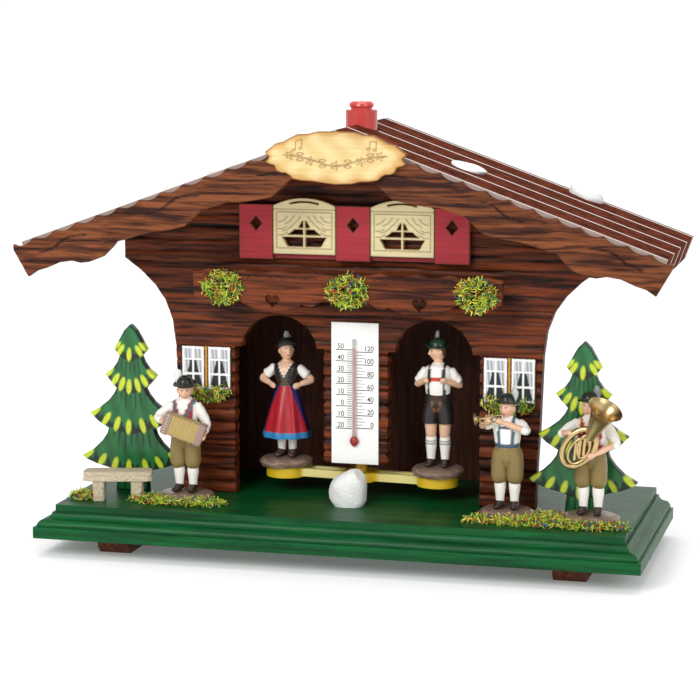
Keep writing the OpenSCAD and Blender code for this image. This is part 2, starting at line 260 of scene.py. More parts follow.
def board(name, loops, front, back, material, replaces, relief=None, step=1.0, rim=0.35, paint=None, cut=None):
    """A board standing in the X-Z plane, cut to the first outline less the others. Its front is a net of small
    triangles at front + relief(x, z), let back by a quarter round of radius rim near every edge:
    rim - sqrt(rim^2 - (rim - d)^2) at distance d. The same net at back, and straight walls, close it.
    relief, paint and cut are functions of the points and of their distance from the edge."""
    loops = [np.asarray(loop, float) for loop in loops]
    fine = [resample(loop, step) for loop in loops]
    edges, start = [], 0
    for loop in fine:
        edges += [(start + i, start + (i + 1) % len(loop)) for i in range(len(loop))]
        start += len(loop)
    rings = []
    for loop in fine:
        way = np.roll(loop, -1, 0) - loop
        side = np.stack([way[:, 1], -way[:, 0]], 1) / np.maximum(np.linalg.norm(way, axis=1), 1e-9)[:, None]
        rings += [loop + way / 2 + side * offset for offset in (-rim, -0.4 * rim, 0.4 * rim, rim)]
    rings = np.concatenate(rings)
    low, high = fine[0].min(0), fine[0].max(0)
    across = np.arange(low[0], high[0], step)
    rise = np.arange(low[1], high[1], step * 0.87)
    net_x, net_z = np.meshgrid(across, rise)
    net_x = net_x + (np.arange(len(rise)) % 2)[:, None] * step / 2
    net = np.stack([net_x.ravel(), net_z.ravel()], 1) + np.random.default_rng(3).uniform(-0.06, 0.06, (net_x.size, 2))

    def edge_distance(points):
        """Distance to the nearest outline."""
        return np.min([line_distance(points, loop, closed=True) for loop in loops], 0)

    rings = rings[inside(rings, loops)]
    rings = rings[edge_distance(rings) > 0.3 * rim]
    net = net[inside(net, loops)]
    net = net[edge_distance(net) > rim + 0.35 * step]
    every = np.concatenate([*fine, rings, net])
    found = geometry.delaunay_2d_cdt([Vector(p) for p in every], edges, [], 0, 1e-6)
    flat = np.array([tuple(p) for p in found[0]])
    triangles = np.array(found[2])
    triangles = triangles[inside(flat[triangles].mean(1), loops)]
    used, triangles = np.unique(triangles, return_inverse=True)
    flat, triangles = flat[used], triangles.reshape(-1, 3)
    depth = edge_distance(flat)
    near = np.clip(rim - depth, 0, rim)
    y = front + rim - np.sqrt(rim**2 - near**2)
    if relief:
        y = y + relief(flat, depth)
    count = len(flat)
    sides = np.concatenate([triangles[:, [0, 1]], triangles[:, [1, 2]], triangles[:, [2, 0]]])
    code = np.sort(sides, 1) @ [count, 1]
    lone = sides[np.isin(code, np.unique(code)[np.unique(code, return_counts=True)[1] == 1])]
    points = np.concatenate([np.stack([flat[:, 0], y, flat[:, 1]], 1),
                             np.stack([flat[:, 0], np.full(count, back), flat[:, 1]], 1)])
    walls = np.stack([lone[:, 1], lone[:, 0], lone[:, 0] + count, lone[:, 1] + count], 1)
    faces = triangles.tolist() + (triangles[:, ::-1] + count).tolist() + walls.tolist()
    values = {"cut": np.tile(cut(flat, depth), 2)} if cut else None
    colours = np.tile(paint(flat, depth), (2, 1)) if paint else None
    return new_piece(name, points, faces, material, "house", replaces, values, colours)


def course(points):
    """Distance from the nearest joint between log courses, which wavers by half a millimetre along the log."""
    x, z = points[:, 0], points[:, 1]
    waver = 0.35 * np.sin(x / 9 + 0.6 * z) + 0.2 * np.sin(x / 3.7 + 1.3 * z)
    phase = (z - floor_z + waver) / log_pitch
    return np.abs(phase - np.round(phase)) * log_pitch


def log_relief(points, depth):
    """Bulge of a log: a narrow bell sinks the joint, a parabola rounds the log, and both fade above 82 mm."""
    gap = course(points)
    upper = np.clip((points[:, 1] - 82) / 8, 0, 1)
    return (1 - 0.55 * upper) * (0.7 * np.exp(-((gap / 0.45) ** 2)) + 0.3 * (1 - gap / (log_pitch / 2)) ** 2)


def log_cut(points, depth):
    """Painted shade in the joints, nearly black and patchy along them."""
    patchy = 0.75 + 0.25 * np.sin(points[:, 0] / 8 + 2.1 * points[:, 1])
    return np.clip(0.95 * patchy * np.exp(-((course(points) / 0.6) ** 2)), 0, 1)


# The post edges bite in a little at each joint between logs, as milled log ends do.
bite_z = np.arange(36.7, 84.9, 0.65)
bite = 0.55 * np.exp(-((course(np.stack([np.full(len(bite_z), 14.0), bite_z], 1)) / 0.6) ** 2))
post_edge = np.stack([14 - bite, bite_z], 1)
arch = arc((33.4, 82.1), 16.7, 167, 13)
outer_edge = np.stack([52.8 + bite[::-1], bite_z[::-1]], 1)
doorway = np.concatenate([post_edge, [(14, 84.9), (17.1, 84.9)], arch, [(49.7, 84.9), (52.8, 84.9)], outer_edge,
                          [(52.8, floor_z)]])
front_outline = np.concatenate([
    mirrored([(76.5, floor_z), (77.2, 41), (78, 54), (79.1, 85), (80.5, 95.5), (83.5, 103.5), (88, 110),
              (94.5, 116.3), (101.5, 121.3), (101.5, under_z - 101.5 * roof_fall), (0, under_z)]),
    (doorway * [-1, 1])[::-1], doorway])
# Scorched spruce: red brown where the log is proud, and painted shade nearly black in the joints.
log_wood = stained_wood("scorched_log_board_with_joint_shade", "#7c3a1b", "#200c06", "X", 1.5, 0.5, coat=0.06, contrast=1.35,
                        groove="cut")
board("log_front", [front_outline], -5.4, 0.6, log_wood, ["facade"], log_relief, 0.85, 0.4, cut=log_cut)

# Room: plain plywood side walls and back wall behind the doorways, stained nearly black-brown, grain upright.
# Under the ridge a raw spruce block, never stained, holds the spindle.
room_wood = stained_wood("dark_stained_plywood", "#5a3323", "#3a2017", "Z", 0.9, 0.55)
for wall in ("wall_left", "wall_right", "back_wall"):
    dress(wall, room_wood)
raw_wood = stained_wood("raw_spruce_block", "#d9bd8c", "#b8945f", "X", 1.2, 0.65)
dress("ridge_block", raw_wood)

# Roof: two 10 mm boards stained red brown, with three saw cuts along each that show raw pale wood.
# Their front edges are left raw and have greyed, and show above the carved boards.
roof_wood = stained_wood("red_brown_roof_board", "#78341b", "#2f120a", "X", 1.0, 0.85, contrast=1.4)
roof_nodes = roof_wood.node_tree
roof_shader = roof_nodes.nodes["Principled BSDF"]
roof_shader.inputs["Specular IOR Level"].default_value = 0.03
stained = roof_shader.inputs["Base Color"].links[0].from_socket
roof_place = add(roof_wood, "SeparateXYZ", inputs={0: add(roof_wood, "TexCoord").outputs["Object"]})
# Distance behind the front edge, counted round each pitch: less than cut_wide is in a saw cut.
front_edge, cut_pitch, cut_wide, edge_skin = 41.33 * MM, 21.5 * MM, 1.9 * MM, 0.3 * MM
behind = add(roof_wood, "Math", {"operation": "ADD"}, {0: roof_place.outputs["Y"], 1: front_edge})
turn = add(roof_wood, "Math", {"operation": "FLOORED_MODULO"}, {0: behind.outputs[0], 1: cut_pitch})
in_cut = add(roof_wood, "Math", {"operation": "LESS_THAN"}, {0: turn.outputs[0], 1: cut_wide})
sawn = add(roof_wood, "Mix", {"data_type": "RGBA"}, {0: in_cut.outputs[0], 6: stained, 7: rgba("#e4dbd4")})
on_edge = add(roof_wood, "Math", {"operation": "LESS_THAN"}, {0: behind.outputs[0], 1: edge_skin})
greyed = add(roof_wood, "Mix", {"data_type": "RGBA"}, {0: on_edge.outputs[0], 6: sawn.outputs[2], 7: rgba("#a8958d")})
roof_nodes.links.new(greyed.outputs[2], roof_shader.inputs["Base Color"])
for panel in ("roof_left", "roof_right"):
    dress(panel, roof_wood)

# Carved gable boards: fretsawn 3 mm lime, scalloped along the top and waved below, with gouged S-curves.
# The stain is streaky.
gable_lower = [
    (136.4, ridge_z - 136.4 * roof_fall), (136, 127.6), (129.8, 116.9), (126, 119.4), (122, 120.6), (116, 123.2),
    (110.5, 124), (106.5, 123.3), (102.8, 123.8), (97, 126.1), (93, 130), (91, 132.5), (87.5, 133.2), (83.5, 134.5),
    (76, 136.7), (68.5, 137.7), (61.5, 139.5), (57, 143.5), (54.5, 146), (49, 147.6), (43.5, 149.4), (38.5, 149.6),
    (31, 150.8), (25, 152), (20, 156.5), (17.5, 159), (8, 164), (0, 166)]
slope_run = 1 / math.cos(roof_angle)
along = np.linspace(0, 136.4 * slope_run, 240)
scallop = along - 2 - 9.9 * np.round((along - 2) / 9.9)
dip = np.clip(np.sqrt(8.2**2 - scallop**2) - 6.5, 0, None)
dip = np.where(np.abs(scallop) < 4.95, dip, 0)
# A slope point lies back along the roof by its run and down by the dip, square to the slope.
upper = np.stack([along / slope_run - dip * math.sin(roof_angle),
                  ridge_z - along / slope_run * roof_fall - dip * math.cos(roof_angle)], 1)
upper = upper[(upper[:, 0] > 0.2) & (upper[:, 0] < 135.4)]
gable_outline = np.concatenate([gable_lower, [(0, ridge_z - 0.9)], upper])
gouges = [
    [(124.5, 126.9), (118, 129.4), (114.8, 132.2), (112.1, 133.7), (108.2, 134.6), (104.2, 134.9)],
    [(78, 144.7), (74.6, 144.9), (71.8, 145.7), (68.4, 148.4), (65.5, 150.8), (60.6, 152), (55.6, 152.1)],
    [(22.9, 161.8), (25.2, 161.7), (27.6, 160.9), (30.2, 160.7)]]


def gouge_distance(points):
    """Distance to the nearest gouged line."""
    return np.min([line_distance(points, line) for line in gouges], 0)


def gable_relief(points, depth):
    """A low swell along the board, and gouges half a millimetre deep."""
    side = np.abs(points)
    return 0.5 * np.exp(-((gouge_distance(side) / 0.35) ** 2)) + 0.12 * np.sin(
        (points[:, 1] + 0.36 * side[:, 0]) * 1.2 + np.sin(side[:, 0] / 7))


def gable_cut(points, depth):
    """Dark in the gouges: a bell of their distance."""
    return np.clip(np.exp(-((gouge_distance(np.abs(points)) / 0.4) ** 2)), 0, 1)


gable_front, gable_back = -44.3, -41.3
gable_wood = stained_wood("streaked_lime_carving", "#7f4727", "#2e130b", "X", 1.15, 0.52, coat=0.05, contrast=1.4,
                          groove="cut")
for word, outline in (("right", gable_outline), ("left", (gable_outline * [-1, 1])[::-1])):
    board("gable_board_" + word, [outline], gable_front, gable_back, gable_wood, ["barge_" + word],
          gable_relief, 0.8, 0.35, cut=gable_cut)

# Sign over the gable: 2.5 mm lime plywood, laser cut with a torn-looking edge that the laser toasted brown.
# A garland between two joined notes is burnt into it.


def painted(name, roughness, coat=0.0, grain=None, tint=0.12, relief=0.05, speck=0.6):
    """A finish that takes its colour from the piece's own paint attribute, made uneven by a noise of speck mm,
    drawn out sixteen times along the grain where one is given."""
    material, shader = new_material(name, Roughness=roughness, Specular_IOR_Level=0.25, Coat_Weight=coat,
                                    Coat_Roughness=0.15)
    stretch = np.full(3, 1 / (speck * MM))
    if grain:
        stretch["XYZ".index(grain)] /= 16
    place = add(material, "TexCoord").outputs["Object"]
    where = add(material, "Mapping", inputs={"Vector": place, "Scale": tuple(stretch)}).outputs["Vector"]
    noise = add(material, "TexNoise", inputs={"Vector": where, "Scale": 0.6, "Detail": 4.0}).outputs["Fac"]
    shade = add(material, "MapRange", inputs={
        "Value": noise, "From Min": 0.3, "From Max": 0.7, "To Min": 1 - tint, "To Max": 1 + tint})
    own = add(material, "Attribute", {"attribute_name": "paint"}).outputs["Color"]
    mixed = add(material, "VectorMath", {"operation": "SCALE"}, {0: own, "Scale": shade.outputs[0]})
    bump = add(material, "Bump", inputs={"Strength": 0.4, "Distance": relief * MM, "Height": noise})
    material.node_tree.links.new(mixed.outputs[0], shader.inputs["Base Color"])
    material.node_tree.links.new(bump.outputs["Normal"], shader.inputs["Normal"])
    return material


def blend(share, under, over):
    """Paint over paint: under where share is 0, over where it is 1."""
    return under + np.clip(share, 0, 1)[:, None] * (over - under)


def flat_paint(points, code):
    """One colour at every point."""
    return np.tile(linear(code), (len(points), 1))


sign_x = 2.3
sign_outline = mirrored([
    (0, 157.9), (6.8, 158.2), (10.2, 159.1), (13.8, 159.2), (17.3, 159.8), (18.8, 161.2), (20.4, 162.1),
    (22.4, 162.2), (24.2, 163), (25.1, 165), (27.2, 165.6), (28.8, 166.4), (27.9, 167.5), (27.3, 168.5),
    (28.4, 169.4), (28.9, 170.4), (26.9, 171.9), (24.5, 173.8), (21.4, 174.6), (18.8, 176), (15.8, 177.5),
    (11.6, 177.7), (7.7, 178.7), (0, 178.9)])[:-1]
flower_x = np.array([-18.4, -10.4, 0.0, 10.4, 18.4])
flower_z = 166.6 + 0.008 * flower_x**2 - np.array([0, 0.3, 1.2, 0.3, 0])


def sign_burn(points):
    """How deeply the laser has burnt each point: a stem that sags, five-petalled flowers and leaf pairs on it, and
    two joined notes near each end."""
    x, z = points[:, 0] - sign_x, points[:, 1]
    stem = np.abs(z - (166.2 + 0.008 * x**2 - 0.9 * np.cos(x / 4.1))) + 9.0 * (np.abs(x) > 21.5)
    burnt = np.exp(-((stem / 0.3) ** 2))
    for fx, fz in zip(flower_x, flower_z):
        away = np.hypot(x - fx, z - fz)
        turn_angle = np.arctan2(z - fz, x - fx)
        petal = np.abs(away - 1.75 * (0.72 + 0.28 * np.cos(5 * turn_angle)))
        burnt = np.maximum(burnt, np.exp(-((petal / 0.28) ** 2)))
        burnt = np.maximum(burnt, np.exp(-((away / 0.45) ** 2)))
    for leaf_x in (-14.4, -5.2, 5.2, 14.4):
        leaf_z = 166.2 + 0.008 * leaf_x**2 - 0.9 * math.cos(leaf_x / 4.1)
        for rise in (-1, 1):
            blade = np.hypot((x - leaf_x) / 1.5, (z - leaf_z - rise * 1.1) / 0.7)
            burnt = np.maximum(burnt, 0.9 * np.exp(-(((blade - 0.8) / 0.28) ** 2)))
    for note_x, lean in ((-15.2, 0.35), (15.2, -0.35)):
        u, v = x - note_x, z - 173.4 - lean * (x - note_x) * 0.5
        note = np.minimum.reduce([
            line_distance(np.stack([u, v], 1), [(-1.1, -1.6), (-0.9, 1.7), (1.7, 1.9), (1.5, -1.3)]),
            np.abs(np.hypot(u + 1.6, (v + 1.7) * 1.2) - 0.55), np.abs(np.hypot(u - 1.0, (v + 1.4) * 1.2) - 0.55)])
        burnt = np.maximum(burnt, np.exp(-((note / 0.22) ** 2)))
    return burnt


def sign_paint(points, depth):
    """Pale ply in soft patches, toasted towards the sawn edge by a bell of the distance, and burnt lines over it."""
    patchy = 0.5 + 0.5 * np.sin(points[:, 0] * 0.55 + 2 * np.sin(points[:, 1] * 0.4))
    toast = np.exp(-((depth / (1.2 + 1.3 * patchy)) ** 2))
    burnt = sign_burn(points)
    base = blend(0.35 * patchy, flat_paint(points, "#dcc48d"), linear("#c79d57"))
    base = blend(0.8 * toast, base, linear("#b98542"))
    base = blend(np.exp(-((depth / 0.35) ** 2)), base, linear("#7d5226"))
    return blend(0.85 * burnt, base, linear("#7a4c22"))


plywood = painted("laser_cut_limewood_ply", 0.6, grain="X", tint=0.1)
board("name_sign", [sign_outline + [sign_x, 0]], gable_front - 2.5, gable_front, plywood, ["sign_board"],
      lambda p, d: 0.12 * sign_burn(p), 0.42, 0.2, paint=sign_paint)

# Window strip and three shutters: 2 mm ply stained red, with edges scorched by the laser.
# A diamond is cut through each shutter and the strip behind it.
red_ply = painted("red_stained_ply", 0.55, coat=0.15, grain="X", tint=0.16)


def red_paint(points, depth):
    """Red stain, browned by a bell of the distance from the laser cut."""
    return blend(0.75 * np.exp(-((depth / 0.45) ** 2)), flat_paint(points, "#b02b36"), linear("#7c4a3a"))


def diamond(x):
    """A shutter's diamond about x."""
    return [(x, 134.9), (x + 2.55, 138), (x, 141.1), (x - 2.55, 138)]


def box_loop(x0, x1, z0, z1):
    """A rectangle's corners, counter-clockwise."""
    return [(x0, z0), (x1, z0), (x1, z1), (x0, z1)]


shutter_x = (-41.8, 0, 41.8)
window_x = (-20.9, 20.9)
strip_holes = [diamond(x) for x in shutter_x] + [box_loop(x - 11, x + 11, 127.5, 141.5) for x in window_x]
board("window_backing", [box_loop(-48.6, 48.6, 123.2, 144.8), *strip_holes], -7.4, -5.4, red_ply,
      ["window_strip"], None, 1.5, 0.2, paint=red_paint)
for x, word in zip(shutter_x, ("left", "mid", "right")):
    board("red_shutter_" + word, [box_loop(x - 7.3, x + 7.3, 122.9, 145.9), diamond(x)], -9.7, -7.4, red_ply,
          ["shutter_" + word], None, 0.6, 0.25, paint=red_paint)

# Fretwork windows: cream ply with an arched head, laser cut on the panes and the slot in the head.
# Gathered curtains and frame lines are burnt in, brown against the cream.
cream_ply = painted("cream_limewood_ply", 0.6, grain="X", tint=0.07)
pane_cuts = [
    [(0.55, 132.4), (9.4, 132.4), (8.9, 131.6), (8.2, 130.6), (7.7, 129.4), (6.9, 128.6), (0.55, 128.6)],
    [(0.55, 133.5), (7.1, 133.5), (5.6, 134.4), (4.3, 135.6), (0.55, 135.6)],
    [(0.55, 136.5), (2.3, 136.5), (1.7, 137.8), (0.9, 139.2), (0.55, 139.2)]]
folds = [
    [(1.6, 141.2), (2.8, 139.4), (4.9, 137.6)], [(4.2, 141.5), (5.7, 139.3), (8.2, 137.9)],
    [(7.2, 141.0), (8.7, 139.4), (10.9, 138.6)], [(5.2, 137.2), (7.2, 135.6), (9.2, 135.0)],
    [(7.6, 136.6), (9.4, 135.8), (11.2, 135.8)], [(7.2, 134.5), (9.0, 133.4), (11.2, 133.3)]]
head_slot = np.concatenate([arc((0, 124.6), 22.9, 74, 106, 9), arc((0, 124.6), 22.35, 105.5, 74.5, 9)])
window_outline = np.concatenate([[(-13.4, 125.3), (13.4, 125.3)], arc((0, 119.5), 29.3, 62.8, 117.2, 15)])


def window_burn(points, middle):
    """Burnt folds and frame lines: a bell of the distance to the nearest, the same on both sides of middle."""
    side = np.stack([np.abs(points[:, 0] - middle), points[:, 1]], 1)
    lines = [line_distance(side, line) for line in folds]
    lines += [line_distance(side, [(0, 142.9), (11.9, 142.9), (11.9, 127.8), (0, 127.8)]),
              line_distance(side, [(0, 144.0), (13.4, 144.0)])]
    return np.exp(-((np.min(lines, 0) / 0.22) ** 2))


for x, word in zip(window_x, ("left", "right")):
    cuts = [np.array(cut) + [x, 0] for cut in pane_cuts]
    cuts += [(np.array(cut) * [-1, 1])[::-1] + [x, 0] for cut in pane_cuts]

    def window_paint(points, depth, middle=x):
        """Cream ply, scorched at its edges and along the burnt lines."""
        scorched = np.exp(-((depth / 0.3) ** 2))
        base = blend(0.7 * scorched, flat_paint(points, "#eddfae"), linear("#8e6a35"))
        return blend(0.8 * window_burn(points, middle), base, linear("#8a6430"))

    board("fret_window_" + word, [window_outline + [x, 0], *cuts, head_slot + [x, 0]], -9.7, -7.4, cream_ply,
          ["window_" + word], None, 0.38, 0.15, paint=window_paint)

# Balcony: a fretsawn lime rail with a cusped top edge, two hearts and a row of gouged nicks.
# It stands on a narrow plank floor, in the same red-brown stain.
cusp_x = np.linspace(-65.5, 65.5, 150)[::-1]
cusps = np.stack([cusp_x, 120 - 1.2 * np.abs(np.sin(np.pi * cusp_x / 14.6))], 1)
rail_lower = mirrored([(0, 109.6), (4, 109.5), (8, 108.6), (11.5, 106.6), (14, 105), (16.5, 105.2), (18.5, 106),
                       (21.5, 104.4), (25, 103.2), (31, 102.3), (37, 103.2), (40.5, 104.4), (44, 106), (47, 108),
                       (50, 109.5), (54, 108.2), (58, 107), (62, 107.2), (65, 108.5)])
rail_right = rail_lower[: len(rail_lower) // 2 + 1]
rail_outline = np.concatenate([(rail_right[1:] * [-1, 1])[::-1], rail_right, cusps])
t = np.linspace(0, 2 * np.pi, 40, endpoint=False)
heart = np.stack([0.19 * 16 * np.sin(t) ** 3,
                  0.18 * (13 * np.cos(t) - 5 * np.cos(2 * t) - 2 * np.cos(3 * t) - np.cos(4 * t))], 1)
nick_x = np.arange(-4, 5) * 14.6
nicks = [[(x - 2.6, 116.9), (x, 117.8), (x + 2.6, 116.9)] for x in nick_x]


def rail_cut(points, depth):
    """Gouged nicks under each cusp, and a chain of punched dots between them."""
    strokes = np.exp(-((np.min([line_distance(points, line) for line in nicks], 0) / 0.3) ** 2))
    dots = np.hypot((points[:, 0] + 100) % 1.9 - 0.95, points[:, 1] - 116.2 + 0.8 * np.cos(points[:, 0] * np.pi / 7.3))
    return np.maximum(0.8 * strokes, 0.45 * np.exp(-((dots / 0.4) ** 2)))


rail_wood = stained_wood("red_brown_lime_rail", "#7a3c1f", "#2a0f08", "X", 1.3, 0.52, coat=0.05, contrast=1.35,
                         groove="cut")
board("balcony_rail", [rail_outline, heart + [-31.1, 107.4], heart + [31.1, 107.4]], -22.5, -19.5, rail_wood,
      ["balcony_front"], lambda p, d: 0.35 * rail_cut(p, d), 0.7, 0.3, cut=rail_cut)
dress("balcony_floor", rail_wood)

# Flower bunches: dyed wood shavings, yellow, green, blue and red, pressed on glue in handfuls.
# Each is a loose ball of thin curls whose colours mix evenly.
shaving_dye = painted("dyed_wood_shavings", 0.65, tint=0.1)
dyes = np.array([linear(code) for code in ("#d3d84a", "#a9c23c", "#5d8f2e", "#3f6f3a", "#e6e27c", "#2d5f86", "#cf4a2e",
                                           "#d98a3a")])
dye_share = np.array([0.26, 0.22, 0.16, 0.08, 0.08, 0.08, 0.07, 0.05])


def shavings(name, centres, spread, seed, nodes_hidden, size=2.6, low=None, front=None):
    """A heap of curled slivers: each is a thin strip bent to part of a parabola, laid at random in a rounded heap of
    half sizes spread about its centre; five stations of four corners, closed at the ends."""
    random = np.random.default_rng(seed)
    count = len(centres)
    ball = random.normal(size=(count, 3))
    ball *= (random.uniform(0.35, 1, count) ** 0.5 / np.linalg.norm(ball, axis=1))[:, None]
    middle = centres + ball * spread
    run = random.normal(size=(count, 3))
    run /= np.linalg.norm(run, axis=1)[:, None]
    lean = np.cross(run, random.normal(size=(count, 3)))
    lean /= np.linalg.norm(lean, axis=1)[:, None]
    flat = np.cross(run, lean)
    length = size * random.uniform(0.45, 1.0, (count, 1, 1)) / 2
    s = np.linspace(-1, 1, 5)[None, :, None]
    spine = middle[:, None] + length * (s * run[:, None] + 0.45 * s**2 * lean[:, None])
    half_width = 0.21 * (1 - 0.5 * s**2)
    corner = np.array([[-1, -1], [1, -1], [1, 1], [-1, 1]])
    rings = (spine[:, :, None] + (half_width[..., None] * corner[None, None, :, :1]) * flat[:, None, None]
             + 0.09 * corner[None, None, :, 1:] * lean[:, None, None])
    points = rings.reshape(-1, 3)
    if low is not None:
        points[:, 2] = np.maximum(points[:, 2], low)
    if front is not None:
        points[:, 1] = np.minimum(points[:, 1], front)
    ring = np.arange(4)
    side = np.stack([ring, (ring + 1) % 4, (ring + 1) % 4 + 4, ring + 4], 1)
    one = np.concatenate([side + 4 * i for i in range(4)] + [[[3, 2, 1, 0]], [[16, 17, 18, 19]]])
    faces = (one[None] + 20 * np.arange(count)[:, None, None]).reshape(-1, 4)[:, ::-1]
    hue = dyes[random.choice(len(dyes), count, p=dye_share)] * random.uniform(0.75, 1.15, (count, 1))
    return new_piece(name, points, faces, shaving_dye, "house", nodes_hidden, paint=np.repeat(hue, 20, 0),
                     sharp=60)


for x, word in ((-52.2, "left"), (1.2, "mid"), (54.8, "right")):
    shavings("flower_bunch_" + word, np.tile([x, -23.4, 112.3], (520, 1)), [9.2, 2.4, 7.6], int(x + 80),
             ["flowers_" + word], size=3.4, front=-22.5)
for x, word in ((-65, "left"), (65, "right")):
    sill = np.random.default_rng(int(x + 90)).uniform(-1, 1, 300)
    shavings("sill_bunch_" + word, np.stack([x + 8.2 * sill, np.full(300, -7.4), 63.8 + 2.0 * sill**2], 1),
             [4.2, 2.6, 3.6], int(x + 70), ["pane_flowers_" + word], size=3.6, front=-5.6)

# Printed windows: a thin card glued to each log post, printed matt.
# It shows two white casements with net curtains and an ochre centre post.
card_print = painted("printed_window_card", 0.45, tint=0.03)


def casement(points, left):
    """White bars of a two by three light, grey curtain folds over a dark room behind them."""
    u, v = (points[:, 0] - left) / 9.6, (points[:, 1] - 66) / 18.3
    bar_u = np.min([np.abs(u - edge) for edge in (0.05, 0.5, 0.95)], 0) * 9.6
    bar_v = np.min([np.abs(v - edge) for edge in (0.03, 0.36, 0.7, 0.97)], 0) * 18.3
    bars = np.minimum(bar_u, bar_v) < 0.42
    across = np.abs((u * 2) % 1 - 0.5)
    drape = np.where(u < 0.5, u / 0.5, (1 - u) / 0.5)
    cloth = (drape < 0.2 + 0.55 * np.clip((v - 0.1) / 0.6, 0, 1)) | (v > 0.7)
    net = 0.6 + 0.22 * np.sin(points[:, 0] * 4.2 + 5 * v + 2 * across)
    colour = np.where(cloth[:, None], net[:, None] * linear("#e9ecee"), linear("#2b3031"))
    return np.where(bars[:, None], linear("#f4f4f0"), colour)


def pane_paint(points, depth, middle):
    """The printed card: brown ground, a casement on either side, and an ochre post between them."""
    x = points[:, 0] - middle
    colour = flat_paint(points, "#40241b")
    for left in (-10.6, 1.0):
        within = (x > left) & (x < left + 9.6) & (points[:, 1] > 66) & (points[:, 1] < 84.3)
        colour = np.where(within[:, None], casement(np.stack([x, points[:, 1]], 1), left), colour)
    post = (np.abs(x) < 0.45) & (points[:, 1] > 65.5)
    return np.where(post[:, None], linear("#c08a2c"), colour)


for x, word in ((-65.4, "left"), (65.4, "right")):
    board("window_card_" + word, [box_loop(x - 11.2, x + 11.2, 64.2, 84.6)], -6, -5.35, card_print,
          ["pane_" + word], None, 0.28, 0.1, paint=lambda p, d, middle=x: pane_paint(p, d, middle))

# Thermometer card: white polystyrene, smooth with a faint shine, printed in black.
# It has a Celsius scale on the left and a Fahrenheit scale on the right.
card_top = 97.0
ink = linear("#3b3d40")
rows_c = [(11.5 + (44.9 - 11.5) * i / 7, number) for i, number in enumerate((50, 40, 30, 20, 10, 0, 10, 20))]
rows_f = [(12.3 + (44.6 - 12.3) * i / 6, number) for i, number in enumerate((120, 100, 80, 60, 40, 20, 0))]
ticks = [(-8.2, -1.2, drop) for drop, _ in rows_c] + [(0.8, 7.8, drop) for drop, _ in rows_f]
ticks += [(-3.4 if i % 5 else -4.4, -1.2, 11.5 + 33.4 * i / 35) for i in range(36)]
ticks += [(0.8, 3.4 if i % 2 else 4.4, 12.3 + 32.3 * i / 24) for i in range(25)]
tick = np.array(ticks)
tick_half = np.where(tick[:, 1] - tick[:, 0] > 6, 0.17, 0.11)
rect = np.stack([np.stack([tick[:, a], card_top - tick[:, 2] + s * tick_half], 1)
                 for a, s in ((0, -1), (1, -1), (1, 1), (0, 1))], 1).reshape(-1, 2)
print_points = [np.stack([rect[:, 0], np.full(len(rect), -6.83), rect[:, 1]], 1)]
print_faces = [tuple(range(4 * i, 4 * i + 4)) for i in range(len(tick))]
for rows, edge, align in ((rows_c, -4.6, "RIGHT"), (rows_f, 8.2, "RIGHT")):
    for drop, number in rows:
        figure_curve = bpy.data.curves.new("numeral", "FONT")
        figure_curve.body = str(number)
        figure_curve.size = 3.1
        figure_curve.align_x = align
        figure_curve.offset = 0.018
        figure_object = bpy.data.objects.new("numeral", figure_curve)
        figure_mesh = bpy.data.meshes.new_from_object(figure_object)
        flat = np.array([v.co[:2] for v in figure_mesh.vertices]) * [0.92, 1.0]
        first = sum(len(p) for p in print_points)
        print_points.append(np.stack([flat[:, 0] + edge, np.full(len(flat), -6.83),
                                      flat[:, 1] + card_top - drop + 0.5], 1))
        print_faces += [tuple(first + v for v in polygon.vertices) for polygon in figure_mesh.polygons]
        bpy.data.objects.remove(figure_object)
        bpy.data.meshes.remove(figure_mesh)
print_points = np.concatenate(print_points)
scale_ink = painted("black_printing_ink", 0.5, tint=0.02)
scale_print = new_piece("thermometer_scale", print_points, print_faces, scale_ink, "house", [],
                        paint=np.tile(ink, (len(print_points), 1)))
# The ink is a closed film 0.02 mm thick, standing just proud of the card.
scale_print.modifiers.new("ink_film", "SOLIDIFY").thickness = 0.02 * MM
white_card, card_shader = new_material("white_polystyrene_card", Base_Color=rgba("#f3f2ee"), Roughness=0.38)
card_noise = add(white_card, "TexNoise", inputs={
    "Vector": add(white_card, "TexCoord").outputs["Object"], "Scale": 900.0, "Detail": 2.0})
card_bump = add(white_card, "Bump", inputs={
    "Strength": 0.1, "Distance": 0.02 * MM, "Height": card_noise.outputs["Fac"]})
white_card.node_tree.links.new(card_bump.outputs["Normal"], card_shader.inputs["Normal"])
board("thermometer_card", [box_loop(-10.1, 10.1, 37.1, card_top)], -6.8, -5.4, white_card,
             ["thermo_card"], None, 3.0, 0.15)

# Thermometer tube: clear glass with a thread of red spirit and a full red bulb, clipped to the card.


def spline(values, at):
    """Catmull-Rom curve through rows of values at parameters at, which count the rows from 0."""
    index = np.clip(np.floor(at).astype(int), 0, len(values) - 2)
    f = (at - index)[:, None]
    before, here = values[np.maximum(index - 1, 0)], values[index]
    there, after = values[index + 1], values[np.minimum(index + 2, len(values) - 1)]
    return 0.5 * (2 * here + (there - before) * f + (2 * before - 5 * here + 4 * there - after) * f**2
                  + (3 * here - before - 3 * there + after) * f**3)


